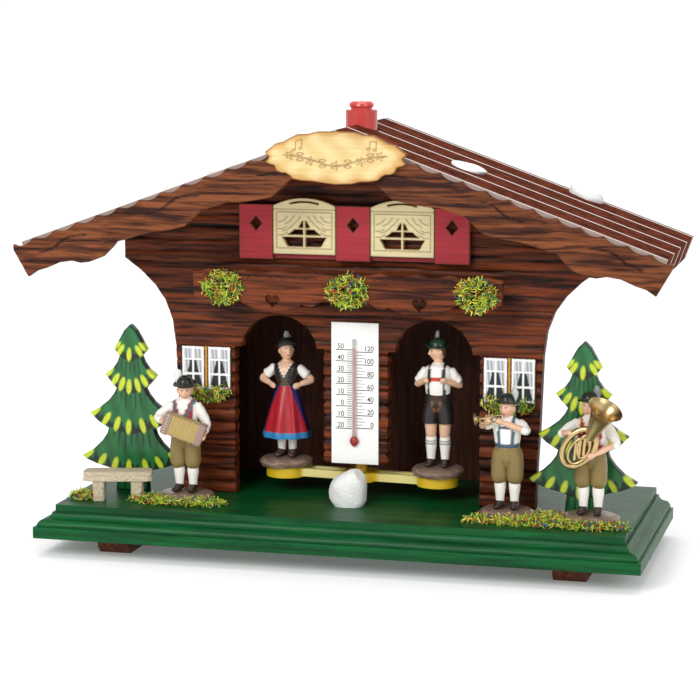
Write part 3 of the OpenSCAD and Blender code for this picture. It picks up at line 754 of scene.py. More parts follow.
def tube(stations, paint, around=20, along=4, cap=0.7, square=2.0, refer=(0, 1, 0), wave=None):
    """A closed tube along a smooth line through stations (x, y, z, half width, half depth). Each ring is a
    superellipse of power square, and each end is rounded off by cap of its radius. paint is a hex code or a function
    of the points. Returns its points, faces and colours."""
    stations = np.asarray(stations, float)
    at = np.linspace(0, len(stations) - 1, (len(stations) - 1) * along + 1)
    line = spline(stations, at)
    line[:, 3:] = np.maximum(line[:, 3:], 0.02)
    way = np.gradient(line[:, :3], axis=0)
    way /= np.linalg.norm(way, axis=1)[:, None]
    lift = np.radians([0, 20, 45, 70, 90])
    first = np.concatenate([line[:1, :3] - way[:1] * cap * line[0, 3:].mean() * np.sin(lift)[:, None],
                            line[:1, 3:] * np.maximum(np.cos(lift), 1e-4)[:, None]], 1)[:0:-1]
    last = np.concatenate([line[-1:, :3] + way[-1:] * cap * line[-1, 3:].mean() * np.sin(lift)[:, None],
                           line[-1:, 3:] * np.maximum(np.cos(lift), 1e-4)[:, None]], 1)[1:]
    line = np.concatenate([first, line, last])
    way = np.concatenate([np.tile(way[0], (4, 1)), way, np.tile(way[-1], (4, 1))])
    side = np.cross(way, refer)
    side /= np.linalg.norm(side, axis=1)[:, None]
    over = np.cross(way, side)
    angle = np.linspace(0, 2 * np.pi, around, endpoint=False)
    c, s = np.cos(angle), np.sin(angle)
    c, s = np.sign(c) * np.abs(c) ** (2 / square), np.sign(s) * np.abs(s) ** (2 / square)
    swell = wave(angle[None, :], line[:, 2:3]) if wave else 1.0
    points = (line[:, None, :3] + (line[:, 3, None] * c * swell)[..., None] * side[:, None]
              + (line[:, 4, None] * s * swell)[..., None] * over[:, None]).reshape(-1, 3)
    ring, row = np.meshgrid(np.arange(around), np.arange(len(line) - 1))
    a, b = row * around + ring, row * around + (ring + 1) % around
    faces = np.stack([a, b, b + around, a + around], -1).reshape(-1, 4)
    colours = paint(points) if callable(paint) else flat_paint(points, paint)
    return points, faces, colours


def joined(parts):
    """Several (points, faces, colours) as one."""
    starts = np.cumsum([0] + [len(part[0]) for part in parts])
    return (np.concatenate([part[0] for part in parts]),
            np.concatenate([part[1] + start for part, start in zip(parts, starts)]),
            np.concatenate([part[2] for part in parts]))


def weld(piece):
    """Merges the ring of points at each rounded end into one, which closes it."""
    mesh = bmesh.new()
    mesh.from_mesh(piece.data)
    bmesh.ops.remove_doubles(mesh, verts=mesh.verts, dist=0.004 * MM)
    mesh.to_mesh(piece.data)
    mesh.free()
    return piece


spirit = painted("red_spirit", 0.15, tint=0.02)
glass, _ = new_material("clear_glass_tube", Base_Color=rgba("#fbfbfb"), Roughness=0.03, IOR=1.47,
                        Transmission_Weight=1.0)
thread = joined([tube([(0, -7.75, z, 0.34, 0.34) for z in (47, 60, 86)], "#e3b4aa", 12),
                 tube([(0, -7.9, 45.5, 0.9, 0.5), (0, -7.9, 46.1, 1.4, 0.8), (0, -7.9, 47, 1.7, 1.0),
                       (0, -7.9, 47.9, 1.4, 0.8), (0, -7.9, 48.6, 0.6, 0.5)], "#d2372b", 24, cap=0.8)])
weld(new_piece("thermometer_spirit", thread[0], thread[1], spirit, "house", ["thermo_tube"],
               paint=thread[2]))
case = tube([(0, -7.8, 45.2, 1.0, 0.7), (0, -7.8, 46, 1.6, 1.0), (0, -7.8, 47, 1.95, 1.2), (0, -7.8, 48.1, 1.6, 1.0),
             (0, -7.75, 49.2, 0.9, 0.85), (0, -7.75, 53, 0.8, 0.8),
             (0, -7.75, 70, 0.8, 0.8), (0, -7.75, 89.6, 0.8, 0.8)], "#ffffff", 24)
weld(new_piece("thermometer_glass", case[0], case[1], glass, "house", ["thermo_tube"]))

# Works: a gut string on a turned spindle under the chimney knob holds a yellow plastic carrier, whose two arms end
# in round platforms. A bent wire staple behind the middle post keeps its stem upright.
knob_lacquer, knob_shader = new_material("red_lacquered_beech", Base_Color=rgba("#c8322e"), Roughness=0.32,
                                         Coat_Weight=0.5, Coat_Roughness=0.12)
knob_place = add(knob_lacquer, "Mapping", inputs={
    "Vector": add(knob_lacquer, "TexCoord").outputs["Object"], "Scale": (1 / (0.8 * MM), 1 / (0.8 * MM), 1 / (6 * MM))})
knob_grain = add(knob_lacquer, "TexNoise", inputs={"Vector": knob_place.outputs["Vector"], "Scale": 0.8, "Detail": 3.0})
knob_colour = add(knob_lacquer, "Mix", {"data_type": "RGBA"}, {
    0: knob_grain.outputs["Fac"], 6: rgba("#b92a27"), 7: rgba("#d8463d")})
knob_bump = add(knob_lacquer, "Bump", inputs={
    "Strength": 0.25, "Distance": 0.05 * MM, "Height": knob_grain.outputs["Fac"]})
knob_lacquer.node_tree.links.new(knob_colour.outputs[2], knob_shader.inputs["Base Color"])
knob_lacquer.node_tree.links.new(knob_bump.outputs["Normal"], knob_shader.inputs["Normal"])
dress("chimney_knob", knob_lacquer)
dress("spindle", stained_wood("turned_beech_dowel", "#d8b684", "#a97f4c", "Z", 0.6, 0.5))
gut, gut_shader = new_material("twisted_gut", Base_Color=rgba("#c7a76a"), Roughness=0.4, Subsurface_Weight=0.2)
gut_place = add(gut, "TexCoord").outputs["Object"]
gut_twist = add(gut, "TexWave", {"bands_direction": "DIAGONAL"}, {"Vector": gut_place, "Scale": 1.2 / MM / 2})
gut_bump = add(gut, "Bump", inputs={"Strength": 0.5, "Distance": 0.05 * MM, "Height": gut_twist.outputs["Fac"]})
gut.node_tree.links.new(gut_bump.outputs["Normal"], gut_shader.inputs["Normal"])
dress("gut_string", gut)
steel, steel_shader = new_material("drawn_steel_wire", Base_Color=rgba("#b9bbbc"), Metallic=1.0, Roughness=0.32)
steel_lines = add(steel, "TexNoise", inputs={"Vector": add(steel, "TexCoord").outputs["Object"], "Scale": 3000.0})
steel_bump = add(steel, "Bump", inputs={"Strength": 0.2, "Distance": 0.02 * MM, "Height": steel_lines.outputs["Fac"]})
steel.node_tree.links.new(steel_bump.outputs["Normal"], steel_shader.inputs["Normal"])
dress("guide_staple", steel)
carrier_plastic, carrier_shader = new_material("yellow_moulded_polystyrene", Roughness=0.33, Subsurface_Weight=0.25,
                                               Subsurface_Scale=0.002)
carrier_place = add(carrier_plastic, "SeparateXYZ", inputs={0: add(carrier_plastic, "TexCoord").outputs["Object"]})
reach = add(carrier_plastic, "Math", {"operation": "ABSOLUTE"}, {0: carrier_place.outputs["X"]})
# The thin arms let light through and look paler than the solid ends.
pale_arm = add(carrier_plastic, "MapRange", inputs={
    "Value": reach.outputs[0], "From Min": 24.6 * MM, "From Max": 26.5 * MM, "To Min": 1.0, "To Max": 0.0})
near_hub = add(carrier_plastic, "MapRange", inputs={"Value": reach.outputs[0], "From Min": 7 * MM, "From Max": 9 * MM})
arm_share = add(carrier_plastic, "Math", {"operation": "MULTIPLY"}, {0: pale_arm.outputs[0], 1: near_hub.outputs[0]})
carrier_colour = add(carrier_plastic, "Mix", {"data_type": "RGBA"}, {
    0: arm_share.outputs[0], 6: rgba("#e3bd22"), 7: rgba("#efe093")})
carrier_plastic.node_tree.links.new(carrier_colour.outputs[2], carrier_shader.inputs["Base Color"])
moulded = add(carrier_plastic, "TexNoise", inputs={
    "Vector": add(carrier_plastic, "TexCoord").outputs["Object"], "Scale": 600.0, "Detail": 2.0})
moulded_bump = add(carrier_plastic, "Bump", inputs={
    "Strength": 0.15, "Distance": 0.05 * MM, "Height": moulded.outputs["Fac"]})
carrier_plastic.node_tree.links.new(moulded_bump.outputs["Normal"], carrier_shader.inputs["Normal"])
dress("carrier", carrier_plastic)

# Two flat fir trees: 4 mm plywood cut to four drooping layers and brushed by hand, green with near-black
# shadow under each layer and yellow-green dabs on the branch tips.
tree_paint = painted("brushed_green_enamel", 0.35, coat=0.3, tint=0.1)
tree_half = np.array([
    (0, 0), (7.2, 0), (7.0, 4), (6.4, 8.4), (9, 9.2), (16, 11), (20.5, 12.8), (22.4, 14.4), (17, 17.6), (13.4, 21),
    (11, 24.4), (10.2, 26.8), (15.2, 29.8), (18.6, 33.2), (14, 35.8), (10.2, 38.8), (7.6, 42), (6.4, 44.4), (9.2, 47.4),
    (11.4, 50.2), (7.8, 53.0), (5.8, 55.8), (4.8, 58.4), (5.8, 59.6), (7.2, 61.4), (4.8, 65.5), (2.6, 69.4), (0, 72)])
layer_low = np.array([56.5, 42.5, 25.0, 7.5])
layer_tip = np.array([61.4, 50.2, 33.2, 14.4])
layer_wide = np.array([7.2, 11.4, 18.6, 22.4])
dab_share = (-0.88, -0.6, -0.34, -0.06, 0.28, 0.56, 0.86)


def tree_colours(points, depth, middle):
    """Each layer's lower edge hangs as low + (tip - low)(|x|/wide)^1.6. Shadow rises above it in uneven teeth and
    falls below it in fine streaks; a dab is an ellipse leaning outward."""
    x, z = points[:, 0] - middle, points[:, 1] - floor_z
    colour = blend(0.5 + 0.5 * np.sin(x * 0.9 + z * 0.23), flat_paint(points, "#216d38"), linear("#195a2d"))
    shadow = np.exp(-((depth / 0.5) ** 2))
    dabs = np.zeros(len(x))
    for low, tip, wide in zip(layer_low, layer_tip, layer_wide):
        hang = low + (tip - low) * (np.abs(x) / wide) ** 1.6
        above = z - hang
        within = np.abs(x) < wide * 1.02
        fan = x / (6 + 0.35 * wide + 0.25 * np.abs(above))
        teeth = 2.9 + 1.3 * np.sin(x * 2.3 + low) + 1.1 * np.sin(x * 1.1)
        shadow = np.maximum(shadow, within * (above > -0.3) * np.clip((teeth - above) / 0.5, 0, 1))
        streak = np.exp(-((((fan * 5 + 0.5) % 1 - 0.5) / 0.17) ** 2))
        streak = streak * np.clip((8 + 3 * np.sin(1.7 * x + low) + above) / 4, 0, 1)
        shadow = np.maximum(shadow, within * (above <= 0.2) * (above > -11) * streak)
        for number, share in enumerate(dab_share):
            if wide < 8 and number % 2 == 0 and number not in (0, 6):
                continue
            cx = share * wide
            cz = low + (tip - low) * abs(share) ** 1.6 + 2.6 - 0.7 * abs(share)
            tilt = 0.95 * share
            u = (x - cx) * math.cos(tilt) + (z - cz) * math.sin(tilt)
            v = -(x - cx) * math.sin(tilt) + (z - cz) * math.cos(tilt)
            scale = 0.75 + 0.25 * min(1, wide / 14)
            dabs = np.maximum(dabs, np.clip((1 - np.hypot(u / (1.4 * scale), v / (3.8 * scale))) * 4, 0, 1))
    colour = blend(0.96 * shadow, colour, linear("#0e1c15"))
    return blend(dabs, colour, linear("#c3d22f"))


for x, word in ((-98, "left"), (97, "right")):
    board("fir_tree_" + word, [mirrored(tree_half)[1:] + [x, floor_z]], -10.4, -6.4, tree_paint,
          ["tree_" + word], None, 0.5, 0.35, paint=lambda p, d, middle=x: tree_colours(p, d, middle))

# Bench: one slab on two blocks, cast in pale grit-stone and glued together.
# Its edges are rounded and crumbly, and the grit shows as small pits.
bench_stone, bench_shader = new_material("cast_gritstone", Roughness=0.9)
bench_place = add(bench_stone, "TexCoord").outputs["Object"]
grit = add(bench_stone, "TexNoise", inputs={"Vector": bench_place, "Scale": 1 / (1.1 * MM), "Detail": 4.0})
pits = add(bench_stone, "TexVoronoi", inputs={"Vector": bench_place, "Scale": 1 / (0.8 * MM)})
bench_colour = add(bench_stone, "Mix", {"data_type": "RGBA"}, {
    0: grit.outputs["Fac"], 6: rgba("#a8977c"), 7: rgba("#dccfb4")})
bench_height = add(bench_stone, "Math", {"operation": "ADD"}, {0: grit.outputs["Fac"], 1: pits.outputs["Distance"]})
bench_bump = add(bench_stone, "Bump", inputs={"Strength": 0.8, "Distance": 0.5 * MM, "Height": bench_height.outputs[0]})
bench_stone.node_tree.links.new(bench_colour.outputs[2], bench_shader.inputs["Base Color"])
bench_stone.node_tree.links.new(bench_bump.outputs["Normal"], bench_shader.inputs["Normal"])


def slab(half_long, half_deep, low, high, shift, seed):
    """A block with rounded, slightly crumbled edges: a superellipse section carried upward."""
    random = np.random.default_rng(seed)
    steps = np.linspace(low, high, 7)
    wobble = 1 + 0.015 * random.normal(size=7)
    stations = np.stack([np.full(7, shift), np.zeros(7), steps, half_long * wobble, half_deep * wobble], 1)
    return tube(stations, "#cfc1a4", 40, 2, cap=0.04, square=7,
                wave=lambda angle, z: 1 + 0.012 * np.sin(5 * angle + 3 * z) + 0.01 * np.sin(9 * angle - 2 * z))


seat = joined([slab(14.4, 4.9, 8.7, 12.5, 0, 1), slab(2.5, 4.1, 0.1, 9.4, -8, 2), slab(2.5, 4.1, 0.1, 9.4, 8, 3)])
bench_turn = np.array(Matrix.Rotation(math.radians(14), 3, "Z"))
new_piece("bench_seat", seat[0] @ bench_turn.T + [-97.5, -28.5, floor_z], seat[1], bench_stone, "house",
          ["bench"])
weld(bpy.data.objects["bench_seat"])

# White stones: a broken marble chip on the floor and four flat pebbles on the roof, glued down.
# Marble breaks in sparkling crystals and lets a little light in, so its shadows stay soft.
marble, marble_shader = new_material("broken_white_marble", Roughness=0.5, Subsurface_Weight=0.15,
                                     Subsurface_Scale=0.002)
marble_place = add(marble, "TexCoord").outputs["Object"]
crystals = add(marble, "TexVoronoi", inputs={"Vector": marble_place, "Scale": 1 / (0.9 * MM)})
veins = add(marble, "TexNoise", inputs={"Vector": marble_place, "Scale": 1 / (5 * MM), "Detail": 5.0})
marble_colour = add(marble, "Mix", {"data_type": "RGBA"}, {
    0: veins.outputs["Fac"], 6: rgba("#dadbd8"), 7: rgba("#f7f7f4")})
marble_bump = add(marble, "Bump", inputs={
    "Strength": 0.6, "Distance": 0.3 * MM, "Height": crystals.outputs["Distance"]})
marble.node_tree.links.new(marble_colour.outputs[2], marble_shader.inputs["Base Color"])
marble.node_tree.links.new(marble_bump.outputs["Normal"], marble_shader.inputs["Normal"])


def directions(rows, around):
    """Unit directions on a grid of latitude and longitude, from the top pole to the bottom one."""
    polar, round_angle = np.meshgrid(np.linspace(0, np.pi, rows + 1),
                                     np.linspace(0, 2 * np.pi, around, endpoint=False), indexing="ij")
    across = np.sin(polar)
    return np.stack([across * np.cos(round_angle), across * np.sin(round_angle), np.cos(polar)], -1).reshape(-1, 3)


def ball_faces(rows, around):
    """Faces between neighbouring points of that grid."""
    row, ring = np.meshgrid(np.arange(rows), np.arange(around), indexing="ij")
    a, b = row * around + ring, row * around + (ring + 1) % around
    return np.stack([a, a + around, b + around, b], -1).reshape(-1, 4)


def stone_shape(half_sizes, seed, planes, jitter):
    """A chip of stone: along each direction the radius is the least of h/(d.n) over random planes n at height h,
    softened by a power mean, so its faces are flat and its edges a little worn."""
    random = np.random.default_rng(seed)
    normals = random.normal(size=(planes, 3))
    normals /= np.linalg.norm(normals, axis=1)[:, None]
    heights = 1 - jitter * random.uniform(0, 1, planes)
    d = directions(28, 44)
    near = np.clip(d @ normals.T, 0, None) / heights
    radius = 1 / np.maximum((near**14).sum(1) ** (1 / 14), 0.9)
    points = d * radius[:, None]
    points /= np.abs(points).max(0)
    return points * half_sizes, ball_faces(28, 44)



def broken(points, seed, breaks, depth):
    """Flat breaks: each random upper plane, depth mm below the farthest point, presses back what stands beyond it."""
    for normal in np.random.default_rng(seed).normal(size=(breaks, 3)):
        normal = np.abs(normal * [0, 0, 1]) + normal * [1, 1, 0]
        normal /= np.linalg.norm(normal)
        reach = points @ normal
        points = points - np.clip(reach - reach.max() + depth, 0, None)[:, None] * normal
    return points


# The chip: its outline from the front, drawn in towards the front and the back by sqrt(1 - |depth|^3).
chip_outline = resample([(-5.4, 0), (-7.4, 3.0), (-8.0, 7.4), (-6.2, 10.9), (-2.6, 13.2), (1.2, 15.2),
                         (4.6, 15.6), (7.2, 13.6), (8.0, 8.2), (7.8, 2.0), (6.8, 0)], 0.8)
chip_across, chip_up = chip_outline.T
chip_depth = np.linspace(-1, 1, 17)[:, None]
chip_scale = np.maximum((1 - np.abs(chip_depth) ** 3) ** (1 / 2), 0.1)
chip_points = np.stack([chip_scale * (chip_across - 0.5) + 0.5, np.repeat(6.2 * chip_depth, len(chip_outline), 1),
                        (0.35 + 0.65 * chip_scale) * chip_up], -1).reshape(-1, 3)
chip_faces = np.roll(ball_faces(16, len(chip_outline))[:, ::-1], 1, 1).tolist()
chip_faces += [list(range(len(chip_outline)))[::-1],
               list(range(len(chip_points) - len(chip_outline), len(chip_points)))]
chip_points = broken(chip_points, 11, 12, 0.7) + [-1.0, -14.9, floor_z]
chip_points[:, 2] = np.maximum(chip_points[:, 2], floor_z + 0.02)
weld(new_piece("marble_chip", chip_points, chip_faces, marble, "house", ["white_rock"], sharp=28))
for word, x, y, wide, thick in (("a", 47.6, -7.5, 13.0, 3.0), ("b", 88.6, 39.5, 12.5, 6.0),
                                ("c", -56, -8, 13.0, 3.0), ("d", -92, 34, 12.5, 5.0)):
    pebble_points, pebble_faces = stone_shape([wide * 0.62, wide * 0.45, thick * 0.9], ord(word), 40, 0.25)
    pebble_points[:, 2] = np.maximum(pebble_points[:, 2] + 0.1 * thick, -0.3)
    fall = np.array(Matrix.Rotation(math.copysign(roof_angle, x), 3, "Y"))
    weld(new_piece("roof_pebble_" + word, pebble_points @ fall.T + [x, y, ridge_z - abs(x) * roof_fall], pebble_faces,
                   marble, "house", ["roof_stone_" + word], sharp=60))

# Meadow: the same dyed shavings, scattered on wet glue in low heaps.
# They lie round the stones that the musicians stand on and under the bench.


def meadow(low_corner, high_corner, count, seed, stones):
    """Places spread evenly over a rectangle and kept off the stones, lower towards the rectangle's edges."""
    random = np.random.default_rng(seed)
    u = random.uniform(-1, 1, (count * 3, 2))
    u = u[(u**2).sum(1) < 1.1]
    middle, half_side = (np.array(low_corner) + high_corner) / 2, (np.array(high_corner) - low_corner) / 2
    flat = middle + u * half_side
    for stone in stones:
        away = np.linalg.norm(flat - stone, axis=1)
        flat, u = flat[away > 10.8], u[away > 10.8]
    flat, u = flat[:count], u[:count]
    rise = floor_z + 0.5 + 3.0 * random.uniform(0, 1, len(flat)) * (1 - 0.6 * (u**2).sum(1))
    return np.column_stack([flat, rise])


man_stones = [(-69.8, -21.4), (67.6, -20.0), (102.3, -22.3)]
left_places = np.concatenate([meadow((-118.4, -34.8), (-104.8, -24.5), 230, 5, []),
                              meadow((-92, -36), (-50, -24), 620, 6, man_stones)])
shavings("meadow_left", left_places, [0.6, 0.6, 0.7], 21, ["grass_left"], size=3.8, low=floor_z + 0.05)
right_places = np.concatenate([meadow((52, -38.5), (120, -24), 900, 7, man_stones),
                               meadow((76, -30), (94, -14), 240, 8, man_stones)])
shavings("meadow_right", right_places, [0.6, 0.6, 0.7], 22, ["grass_right"], size=3.8, low=floor_z + 0.05)

# Five cast resin figures, 5 to 6 cm tall on rough stone bases, painted by hand in enamel.
# The woman and the man ride on the carrier; three musicians stand on the board.
enamel = painted("hand_painted_enamel", 0.36, coat=0.25, tint=0.05, relief=0.03)
SKIN, WHITE, LEATHER = "#e2b596", "#efece4", "#3a2721"


def lathe(profile, origin, axis, paint, around=28, refer=(0, 1, 0)):
    """A profile of (distance along the axis, radius) turned about it, in one closed skin from end to end."""
    profile = np.asarray(profile, float)
    at = np.linspace(0, len(profile) - 1, (len(profile) - 1) * 3 + 1)
    profile = spline(profile, at)
    axis = np.asarray(axis, float) / np.linalg.norm(axis)
    side = np.cross(axis, refer)
    side /= np.linalg.norm(side)
    over = np.cross(axis, side)
    angle = np.linspace(0, 2 * np.pi, around, endpoint=False)
    rim = np.cos(angle)[:, None] * side + np.sin(angle)[:, None] * over
    radius = np.maximum(profile[:, 1], 0.001)
    points = (np.asarray(origin) + profile[:, None, :1] * axis + radius[:, None, None] * rim).reshape(-1, 3)
    ring, row = np.meshgrid(np.arange(around), np.arange(len(profile) - 1))
    a, b = row * around + ring, row * around + (ring + 1) % around
    faces = np.stack([a, b, b + around, a + around], -1).reshape(-1, 4)
    return points, faces, paint(points) if callable(paint) else flat_paint(points, paint)


def turned(parts, degrees, pivot, axis="Z"):
    """Parts turned about an axis through a pivot."""
    matrix = np.array(Matrix.Rotation(math.radians(degrees), 3, axis))
    return [((points - pivot) @ matrix.T + pivot, faces, colours) for points, faces, colours in parts]


def head(hair_code, brow=0.0):
    """A head about its own centre, facing the front: an ellipsoid narrowed to the jaw, with low bell-shaped swells
    for nose, lips and chin, hollows for the eyes, and the features painted on by their distances."""
    d = directions(44, 60)
    p = d * [3.1, 3.5, 4.0]
    under = np.clip(-d[:, 2], 0, 1)
    p[:, 0] *= 1 - 0.24 * under**1.5
    u, w, front = np.abs(p[:, 0]), p[:, 2], np.clip(-1.6 * d[:, 1], 0, 1)
    swell = (0.8 * np.exp(-((u / 0.48) ** 2) - ((w + 0.55) / 0.6) ** 2)
             + 0.35 * np.exp(-((u / 0.42) ** 2) - ((w - 0.5) / 0.9) ** 2)
             - 0.3 * np.exp(-(((u - 1.2) / 0.6) ** 2) - ((w - 0.5) / 0.42) ** 2)
             + 0.22 * np.exp(-((u / 0.8) ** 2) - ((w + 1.95) / 0.3) ** 2)
             + 0.25 * np.exp(-((u / 0.9) ** 2) - ((w + 3.2) / 0.6) ** 2))
    p[:, 1] -= front * swell
    on_face = (front > 0.15)
    colour = flat_paint(p, SKIN)
    blush = 0.4 * on_face * np.exp(-(((u - 1.8) / 0.8) ** 2) - ((w + 1.1) / 0.7) ** 2)
    colour = blend(blush, colour, linear("#d0705c"))
    colour = blend(on_face * ((u < 0.85) & (np.abs(w + 1.95) < 0.24)), colour, linear("#b0584c"))
    colour = blend(on_face * (np.hypot((u - 1.2) / 0.52, (w - 0.5) / 0.26) < 1), colour, linear("#f0ebe4"))
    colour = blend(on_face * (np.hypot(u - 1.15, w - 0.5) < 0.27), colour, linear("#2c2320"))
    colour = blend(on_face * ((np.abs(w - 1.2 - brow) < 0.16) & (u > 0.55) & (u < 1.85)), colour, linear("#4c3527"))
    hair = (p[:, 1] > 0.9 - 0.25 * w) & (w > -2.6)
    colour = np.where((hair | (w > 2.3))[:, None], linear(hair_code), colour)
    ears = [tube([(s * 3.0, 0.2, -0.9, 0.3, 0.5), (s * 3.25, 0.3, 0.0, 0.35, 0.75), (s * 3.1, 0.35, 0.8, 0.3, 0.5)],
                 SKIN, 10, 2) for s in (-1, 1)]
    return [(p, ball_faces(44, 60), colour), *ears]


def hat(cloth, band, feather, side=1):
    """An alpine hat over a head at the origin: brim, band and dented crown in one turned skin, and a tuft."""
    def colours(points):
        """The band's colour low on the crown, the cloth's elsewhere."""
        x, y, z = points.T
        on_band = (z > 2.3) & (z < 3.2) & (np.hypot(x, y) < 4.1)
        return np.where(on_band[:, None], linear(band), linear(cloth))
    crown = lathe([(1.7, 0), (1.7, 3.0), (1.75, 4.7), (2.05, 5.0), (2.15, 4.4), (2.4, 3.75), (3.1, 3.55),
                   (4.3, 3.1), (5.4, 2.3), (5.7, 1.4), (5.3, 0.5), (5.2, 0)], (0, 0, 0), (0, 0, 1), colours)
    crown[0][:, 1] *= 1.08
    crown[0][:, 2] += 0.06 * crown[0][:, 1] ** 2 * (crown[0][:, 2] < 2.2) - 0.02
    tuft = tube([(side * 3.2, 0.3, 2.9, 0.5, 0.4), (side * 3.1, 0.6, 4.6, 1.3, 0.7), (side * 2.8, 0.9, 6.2, 1.7, 0.8),
                 (side * 2.4, 1.2, 7.9, 1.0, 0.6)], feather, 14, cap=0.8,
                wave=lambda angle, z: 1 + 0.12 * np.sin(7 * angle + 9 * z))
    return [crown, tuft]


def placed(parts, shift, size=1.0):
    """Parts scaled by size, then moved by shift."""
    return [(points * size + shift, faces, colours) for points, faces, colours in parts]


def mirrored_pair(make):
    """The same limb on both sides: make(-1) and make(1)."""
    return [make(-1), make(1)]


def shoe(s, code, spread=3.0):
    """A low shoe on side s, drawn as a tube from heel to toe."""
    return tube([(s * spread, 2.3, 1.3, 1.5, 1.3), (s * spread, 0.8, 1.9, 1.9, 1.8),
                 (s * (spread + 0.3), -2.0, 1.35, 1.8, 1.3), (s * (spread + 0.5), -4.4, 1.05, 1.5, 0.95)],
                code, 18, cap=0.8, refer=(0, 0, 1))


def sock(s, top, bands=()):
    """A knitted stocking on side s up to a height, with grey bands at the heights given."""
    def colours(points):
        """White, and grey within 0.28 mm of each band."""
        base = flat_paint(points, WHITE)
        for band in bands:
            base = blend(np.abs(points[:, 2] - band) < 0.28, base, linear("#8b8580"))
        return base
    return tube([(s * 3, 0.6, 2.4, 1.7, 1.8), (s * 3, 0.6, 5, 1.9, 2.0), (s * 3, 0.7, top - 3, 2.4, 2.5),
                 (s * 3, 0.4, top, 2.2, 2.2)], colours, 18, 6)


def breeches(code, cuff, waist):
    """Two loose legs gathered at the cuff, and a seat that joins them at the waist."""
    gathers = lambda angle, z: 1 + 0.035 * np.sin(4 * angle + 0.9 * z) * np.cos(0.5 * z)
    legs = mirrored_pair(lambda s: tube(
        [(s * 3, 0.3, cuff, 2.5, 2.5), (s * 3.15, 0.1, cuff + 1.6, 3.4, 3.3), (s * 3.1, 0, cuff + 6, 3.5, 3.5),
         (s * 2.8, 0, cuff + 11, 3.5, 3.9), (s * 2.2, 0, waist - 2, 3.2, 3.9)], code, 28, 5, cap=0.3, wave=gathers))
    seat_part = tube([(0, 0.2, waist - 8, 3.6, 3.0), (0, 0.1, waist - 4.5, 5.4, 4.3), (0, 0, waist, 5.2, 4.1)],
                     code, 28, 5, cap=0.2)
    return [*legs, seat_part]


def torso(waist, shoulder, girth, colours):
    """A trunk from waist to neck: an upright tube that swells at the chest and closes in over the shoulders."""
    rise = shoulder - waist
    return tube([(0, 0, waist - 1, 5.0 * girth, 3.9 * girth),
                 (0, -0.4 * girth, waist + 0.3 * rise, 5.5 * girth, 4.5 * girth),
                 (0, -0.2, waist + 0.65 * rise, 6.0, 4.4 * girth), (0, 0.1, shoulder - 0.6, 5.7, 3.7),
                 (0, 0.3, shoulder + 1.0, 3.4, 2.7), (0, 0.3, shoulder + 1.9, 2.2, 2.1)], colours, 40, 7, cap=0.15)


def arm(shoulder, elbow, wrist, cuff_share):
    """An upper arm in its sleeve, the forearm, and a closed hand; the sleeve ends cuff_share of the way down the
    forearm, or above the elbow if that is negative."""
    shoulder, elbow, wrist = (np.array(p, float) for p in (shoulder, elbow, wrist))
    cuff = elbow + (wrist - elbow) * cuff_share if cuff_share > 0 else elbow + (shoulder - elbow) * -cuff_share
    stations = [(*shoulder, 1.9, 1.9), (*(shoulder * 0.5 + elbow * 0.5), 2.2, 2.2)]
    stations += [(*elbow, 1.8, 1.8), (*cuff, 1.75, 1.75)] if cuff_share > 0 else [(*cuff, 2.3, 2.3)]
    way = (wrist - elbow) / np.linalg.norm(wrist - elbow)
    creases = lambda angle, z: 1 + 0.04 * np.sin(3 * angle + 2.1 * z)
    sleeve_part = tube(stations, WHITE, 20, 6, cap=0.5, refer=(0.25, 0.9, 0.35), wave=creases)
    start = cuff if cuff_share > 0 else cuff * 0.9 + shoulder * 0.1
    middle = [] if cuff_share > 0 else [(*elbow, 1.45, 1.45)]
    last_bend = cuff if cuff_share > 0 else elbow
    bare_part = tube([(*start, 1.3, 1.3), *middle, (*(last_bend * 0.4 + wrist * 0.6), 1.3, 1.3),
                      (*wrist, 0.95, 0.95)], SKIN, 18, 6, refer=(0.25, 0.9, 0.35))
    hand = tube([(*wrist, 0.95, 0.95), (*(wrist + way * 0.9), 1.35, 1.1), (*(wrist + way * 2.0), 1.3, 1.0)],
                SKIN, 16, 4, refer=(0.25, 0.9, 0.35), cap=0.9, wave=lambda angle, z: 1 + 0.06 * np.sin(4 * angle))
    return [sleeve_part, bare_part, hand]


def rock_base(seed):
    """A rough slab: a low tube whose outline wanders with the angle, mottled in two browns by slow waves."""
    wide, deep, high = 11.6, 10.6, 3.8
    random = np.random.default_rng(seed)
    phases = random.uniform(0, 6.28, 4)
    edge = lambda angle, z: (1 + 0.035 * np.sin(2 * angle + phases[0]) + 0.03 * np.sin(3 * angle + phases[1] + 0.6 * z)
                             + 0.02 * np.sin(7 * angle + phases[2] + 1.7 * z)
                             + 0.012 * np.sin(13 * angle + phases[3] + 3 * z))

    def colours(points):
        """Two browns mixed by slow waves."""
        mottled = 0.5 + 0.3 * np.sin(points[:, 0] * 0.9 + phases[0]) * np.cos(points[:, 1] * 1.1) + 0.2 * np.sin(
            points[:, 2] * 3 + points[:, 0])
        return blend(mottled, flat_paint(points, "#6d5648"), linear("#97806f"))
    return tube([(0, 0, -high + 0.05, wide * 0.94, deep * 0.94), (0, 0, -high * 0.6, wide, deep),
                 (0, 0, -high * 0.35, wide * 0.98, deep * 0.98), (0, 0, -0.3, wide * 0.86, deep * 0.86)],
                colours, 60, 4, cap=0.03, wave=edge)


def figure(name, node, body, parts, foot_place):
    """One cast figure: its parts joined, stood on foot_place and painted."""
    points, faces, colours = joined(parts)
    return weld(new_piece(name, points + foot_place, faces, enamel, body, [node], paint=colours,
                          sharp=50))


